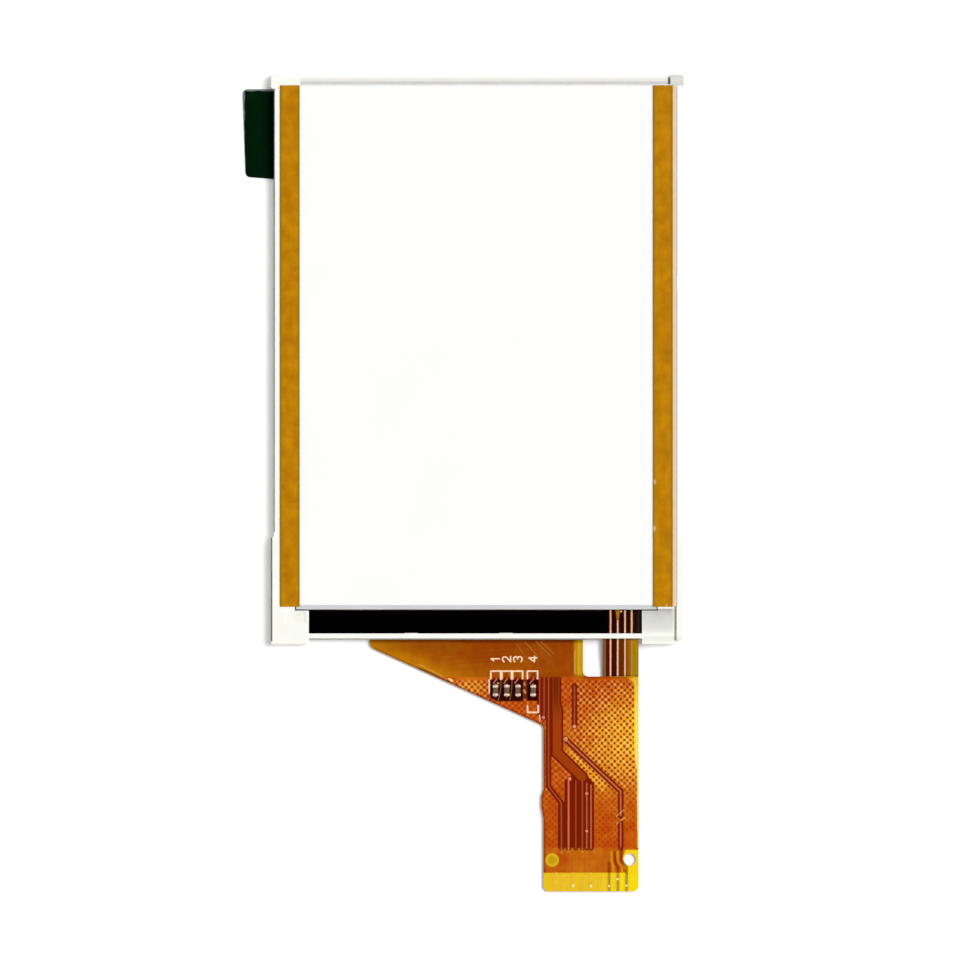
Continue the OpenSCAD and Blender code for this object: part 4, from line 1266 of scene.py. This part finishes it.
@dataclass
class Circuit:
    """The flexible circuit's back: cover film, lamp leg, ink marks, capacitors and plated holes.

    A mark is a line and its width. A digit's line has places along its height and its width. A
    via has its middle and its radius. The plated end of a capacitor is as long as plated says, and
    the solder below it is a mound that stands under its edge.
    """

    plan: FilmPlan = field(default_factory=FilmPlan)
    marks: tuple[tuple[Line, float], ...] = (
        (((1.3, -28.71), (1.3, -28.04), (4.16, -28.04), (4.16, -28.71)), 0.15),
        (((2.24, -28.1), (2.24, -28.71)), 0.25),
        (((3.21, -28.1), (3.21, -28.71)), 0.25),
        (((4.59, -28.71), (4.59, -28.04), (5.51, -28.04), (5.51, -28.71)), 0.15),
        (((4.61, -31.14), (4.61, -31.75), (5.57, -31.75), (5.57, -31.14)), 0.15),
        (((1.16, -28.8), (1.16, -29.97)), 0.13),
        (((5.7, -32.0), (5.7, -32.5)), 0.09),
    )
    digits: tuple[Line, ...] = (
        ((0.08, 0.52), (0.27, 0.75), (0.27, 0.0)),
        ((0.0, 0.6), (0.1, 0.73), (0.36, 0.73), (0.45, 0.6), (0.43, 0.42), (0.0, 0.02), (0.5, 0.02)),
        ((0.0, 0.65), (0.12, 0.75), (0.36, 0.75), (0.46, 0.62), (0.42, 0.45), (0.24, 0.4), (0.42, 0.34),
         (0.47, 0.15), (0.36, 0.0), (0.12, 0.0), (0.0, 0.1)),
        ((0.36, 0.0), (0.36, 0.75), (0.0, 0.24), (0.5, 0.24)),
    )
    digit_low: float = -27.2
    digit_shift: float = 0.36
    digit_width: float = 0.13
    ink_height: float = 0.014
    vias: tuple[tuple[float, float, float], ...] = (
        (8.02, -34.16, 0.2), (8.83, -33.02, 0.17), (8.39, -37.75, 0.17), (6.03, -32.22, 0.15),
        (9.94, -39.06, 0.13), (9.94, -42.43, 0.13),
    )
    via_lift: float = 0.012
    via_height: float = 0.028
    via_dimple: float = 0.9
    test_dots: tuple[Point, ...] = (
        (8.7, -47.35), (10.32, -47.38), (11.94, -47.37), (12.71, -46.75), (13.5, -47.33),
    )
    dot_lift: float = 0.026
    dot_r: float = 0.12
    dot_height: float = 0.012
    inset: tuple[float, ...] = (0.02, 0.04, 0.02)
    plated: float = 0.24
    body_round: float = 0.04
    end_round: float = 0.05
    solder_in: float = 0.1
    solder_sink: float = 0.005
    solder_r: float = 0.2
    solder_height: float = 0.24

    def cover(self) -> None:
        """Adds the cover film's skin, which stands for the copper solids, and the leg's skin."""
        skin = self.plan.shape().build("circuit_cover_film", Finishes.COVER, "flex_polyimide")
        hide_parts("copper_tracks", "ground_net")
        LampLeg(self.plan).shape().build("lamp_leg_cover_film", Finishes.COVER, "flex_polyimide")

    def ink(self) -> None:
        """Adds the printed brackets, strokes and plain digits, each digit turned a quarter."""
        lines = list(self.marks)
        for number, line in enumerate(self.digits, 1):
            low, high = np.array(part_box(f"capacitor_{number}")) / MM
            middle = float(low[0] + high[0]) / 2 + self.digit_shift
            lines.append((tuple((middle - v, self.digit_low + u) for u, v in line), self.digit_width))
        beads = []
        for line, width in lines:
            top = float(self.plan.level(*np.array(line).T).max())
            beads += [stroke(ends, width, self.ink_height, top) for ends in zip(line, line[1:])]
        reduce(Shape.joined, beads).build("printed_marks", Finishes.INK, "flex_polyimide")

    def holes(self) -> None:
        """Adds the plated holes under the cover film and the small bare dots beside the contacts."""
        low = self.plan.film_top + self.via_lift
        under = [dome(x, y, low, r, self.via_height, self.via_dimple) for x, y, r in self.vias]
        reduce(Shape.joined, under).build("plated_holes", Finishes.PLATED, "flex_copper")
        low = self.plan.film_top + self.dot_lift
        bare = [dome(x, y, low, self.dot_r, self.dot_height) for x, y in self.test_dots]
        reduce(Shape.joined, bare).build("solder_dots", Finishes.WITNESS, "contact_plating")

    def capacitors(self) -> None:
        """Builds each chip capacitor: ceramic body, two plated ends and their solder."""
        inset = np.array(self.inset)
        for number in range(1, 5):
            low, high = np.array(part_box(f"capacitor_{number}")) / MM
            body = rounded_box(low + inset, high - inset, self.body_round)
            body_piece = body.build(f"capacitor_body_{number}", Finishes.CERAMIC, "capacitor_ceramic")
            middle = float(low[0] + high[0]) / 2
            near_high = np.array([high[0], low[1] + self.plated, high[2]])
            far_low = np.array([low[0], high[1] - self.plated, low[2]])
            ends = rounded_box(low, near_high, self.end_round)
            ends = ends.joined(rounded_box(far_low, high, self.end_round))
            foot = float(low[2]) - self.solder_sink
            for edge in (float(low[1]) + self.solder_in, float(high[1]) - self.solder_in):
                ends = ends.joined(dome(middle, edge, foot, self.solder_r, self.solder_height))
            piece = ends.build(f"capacitor_ends_{number}", Finishes.TIN, "capacitor_ceramic")
            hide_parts(f"capacitor_{number}")
            body_piece.parent = piece

    def build(self) -> None:
        """Builds all of the circuit's pieces."""
        self.cover()
        self.ink()
        self.holes()
        self.capacitors()


@dataclass
class Solids:
    """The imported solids: the names that take each finish."""

    names: dict[Finishes, str] = field(default_factory=lambda: {
        Finishes.FRAME: "moulded_frame", Finishes.GUIDE: "light_guide",
        Finishes.REFLECTOR: "reflector_sheet", Finishes.DIFFUSER: "diffuser_sheet",
        Finishes.PRISM: "prism_sheet_lower prism_sheet_upper", Finishes.TAPE: "rim_tape shield_tape",
        Finishes.POLARIZER: "rear_polarizer front_polarizer", Finishes.GLASS: "array_glass filter_glass",
        Finishes.SEAL: "cell_seal", Finishes.CLEAR: "protective_film", Finishes.TAB: "pull_tab",
        Finishes.SILICON: "driver_chip", Finishes.FILM: "main_flex",
        Finishes.CONTACT: "copper_tracks ground_net contact_pads",
        Finishes.CERAMIC: "capacitor_1 capacitor_2 capacitor_3 capacitor_4",
        Finishes.LAMP: "lamp_1 lamp_2 lamp_3", Finishes.ADHESIVE: "adhesive_left adhesive_right",
        Finishes.LINER: "liner_left liner_right",
    })

    def dress(self) -> None:
        """Gives each solid its finish."""
        finishes = {name: finish for finish, names in self.names.items() for name in names.split()}
        for name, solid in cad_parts.items():
            made = finishes[name].value.material()
            for slot in solid.material_slots:
                slot.material = made
            if not solid.material_slots:
                solid.data.materials.append(made)
            LOG.info("%s: %s", name, made.name)


@dataclass
class Studio:
    """Table, light and camera: a white table, a soft key from the upper right, and a camera above.

    The width of the view, its middle and the camera's height are in millimetres. The key light has
    its azimuth from +X towards +Y, its elevation, and its angle as seen from the table, in degrees.
    """

    view_width: float = 86.4
    centre: Point = (0.333, -10.845)
    camera_height: float = 1500.0
    sensor: float = 36.0
    key_power: float = 2.3
    key_azimuth: float = 20.0
    key_elevation: float = 72.0
    key_spread: float = 20.0
    sky_level: float = 0.66
    sky_top: float = 0.02
    table_half: float = 1500.0
    table_drop: float = 0.02
    table_glow: float = 0.18

    def table(self) -> None:
        """Adds the table: white paper, with a little own light for the camera, so that it is plain."""
        half, z = self.table_half * MM, -self.table_drop * MM
        mesh = bpy.data.meshes.new("table")
        corners = [(-half, -half, z), (half, -half, z), (half, half, z), (-half, half, z)]
        mesh.from_pydata(corners, [], [(0, 1, 2, 3)])
        floor = placed("table", mesh)
        made = bpy.data.materials.new("table_paper")
        tree = blank(made)
        paper = add(tree, "BsdfDiffuse", {"Color": "fbfbfb"})
        rays = add(tree, "LightPath").node.outputs
        seen = rays["Is Camera Ray"]
        for ray in ("Is Glossy Ray", "Is Transmission Ray"):
            seen = add(tree, "Math", {0: seen, 1: rays[ray]}, operation="MAXIMUM")
        level = add(tree, "Math", {0: seen, 1: self.table_glow}, operation="MULTIPLY")
        lit = add(tree, "Emission", {"Color": "ffffff", "Strength": level})
        add(tree, "OutputMaterial", {0: add(tree, "AddShader", {0: paper, 1: lit})})
        mesh.materials.append(made)

    def sky(self) -> None:
        """Sets the surroundings: bright near the horizon and dark overhead, where the camera is."""
        world = bpy.data.worlds.new("studio")
        bpy.context.scene.world = world
        tree = blank(world)
        up = add(tree, "SeparateXYZ", {0: add(tree, "TexCoord", out="Generated")}, "Z")
        ends = {"From Min": 0.45, "From Max": 0.9, "To Min": self.sky_level, "To Max": self.sky_top}
        level = add(tree, "MapRange", {"Value": up, **ends}, interpolation_type="SMOOTHSTEP")
        light = add(tree, "Background", {"Color": "ffffff", "Strength": level})
        add(tree, "OutputWorld", {0: light})

    def key(self) -> None:
        """Adds the key: a soft distant light."""
        light = bpy.data.lights.new("key", "SUN")
        light.energy = self.key_power
        light.angle = math.radians(self.key_spread)
        lamp = placed("key", light)
        lamp.rotation_euler = (0, math.radians(90 - self.key_elevation), math.radians(self.key_azimuth))

    def camera(self) -> None:
        """Adds the camera, straight above."""
        lens = bpy.data.cameras.new("camera")
        lens.sensor_width = self.sensor
        lens.lens = self.sensor * self.camera_height / self.view_width
        lens.clip_start, lens.clip_end = 0.01, 10.0
        eye = placed("camera", lens)
        eye.location = (self.centre[0] * MM, self.centre[1] * MM, self.camera_height * MM)
        bpy.context.scene.camera = eye

    def build(self) -> None:
        """Builds the studio."""
        bpy.context.scene.view_settings.view_transform = "Standard"
        self.table()
        self.sky()
        self.key()
        self.camera()


def main() -> None:
    """Builds the studio, dresses the solids and adds the circuit's fine pieces."""
    logging.basicConfig(level=logging.INFO, format="%(message)s")
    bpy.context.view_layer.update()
    Studio().build()
    Solids().dress()
    Circuit().build()


if __name__ == "__main__":
    main()
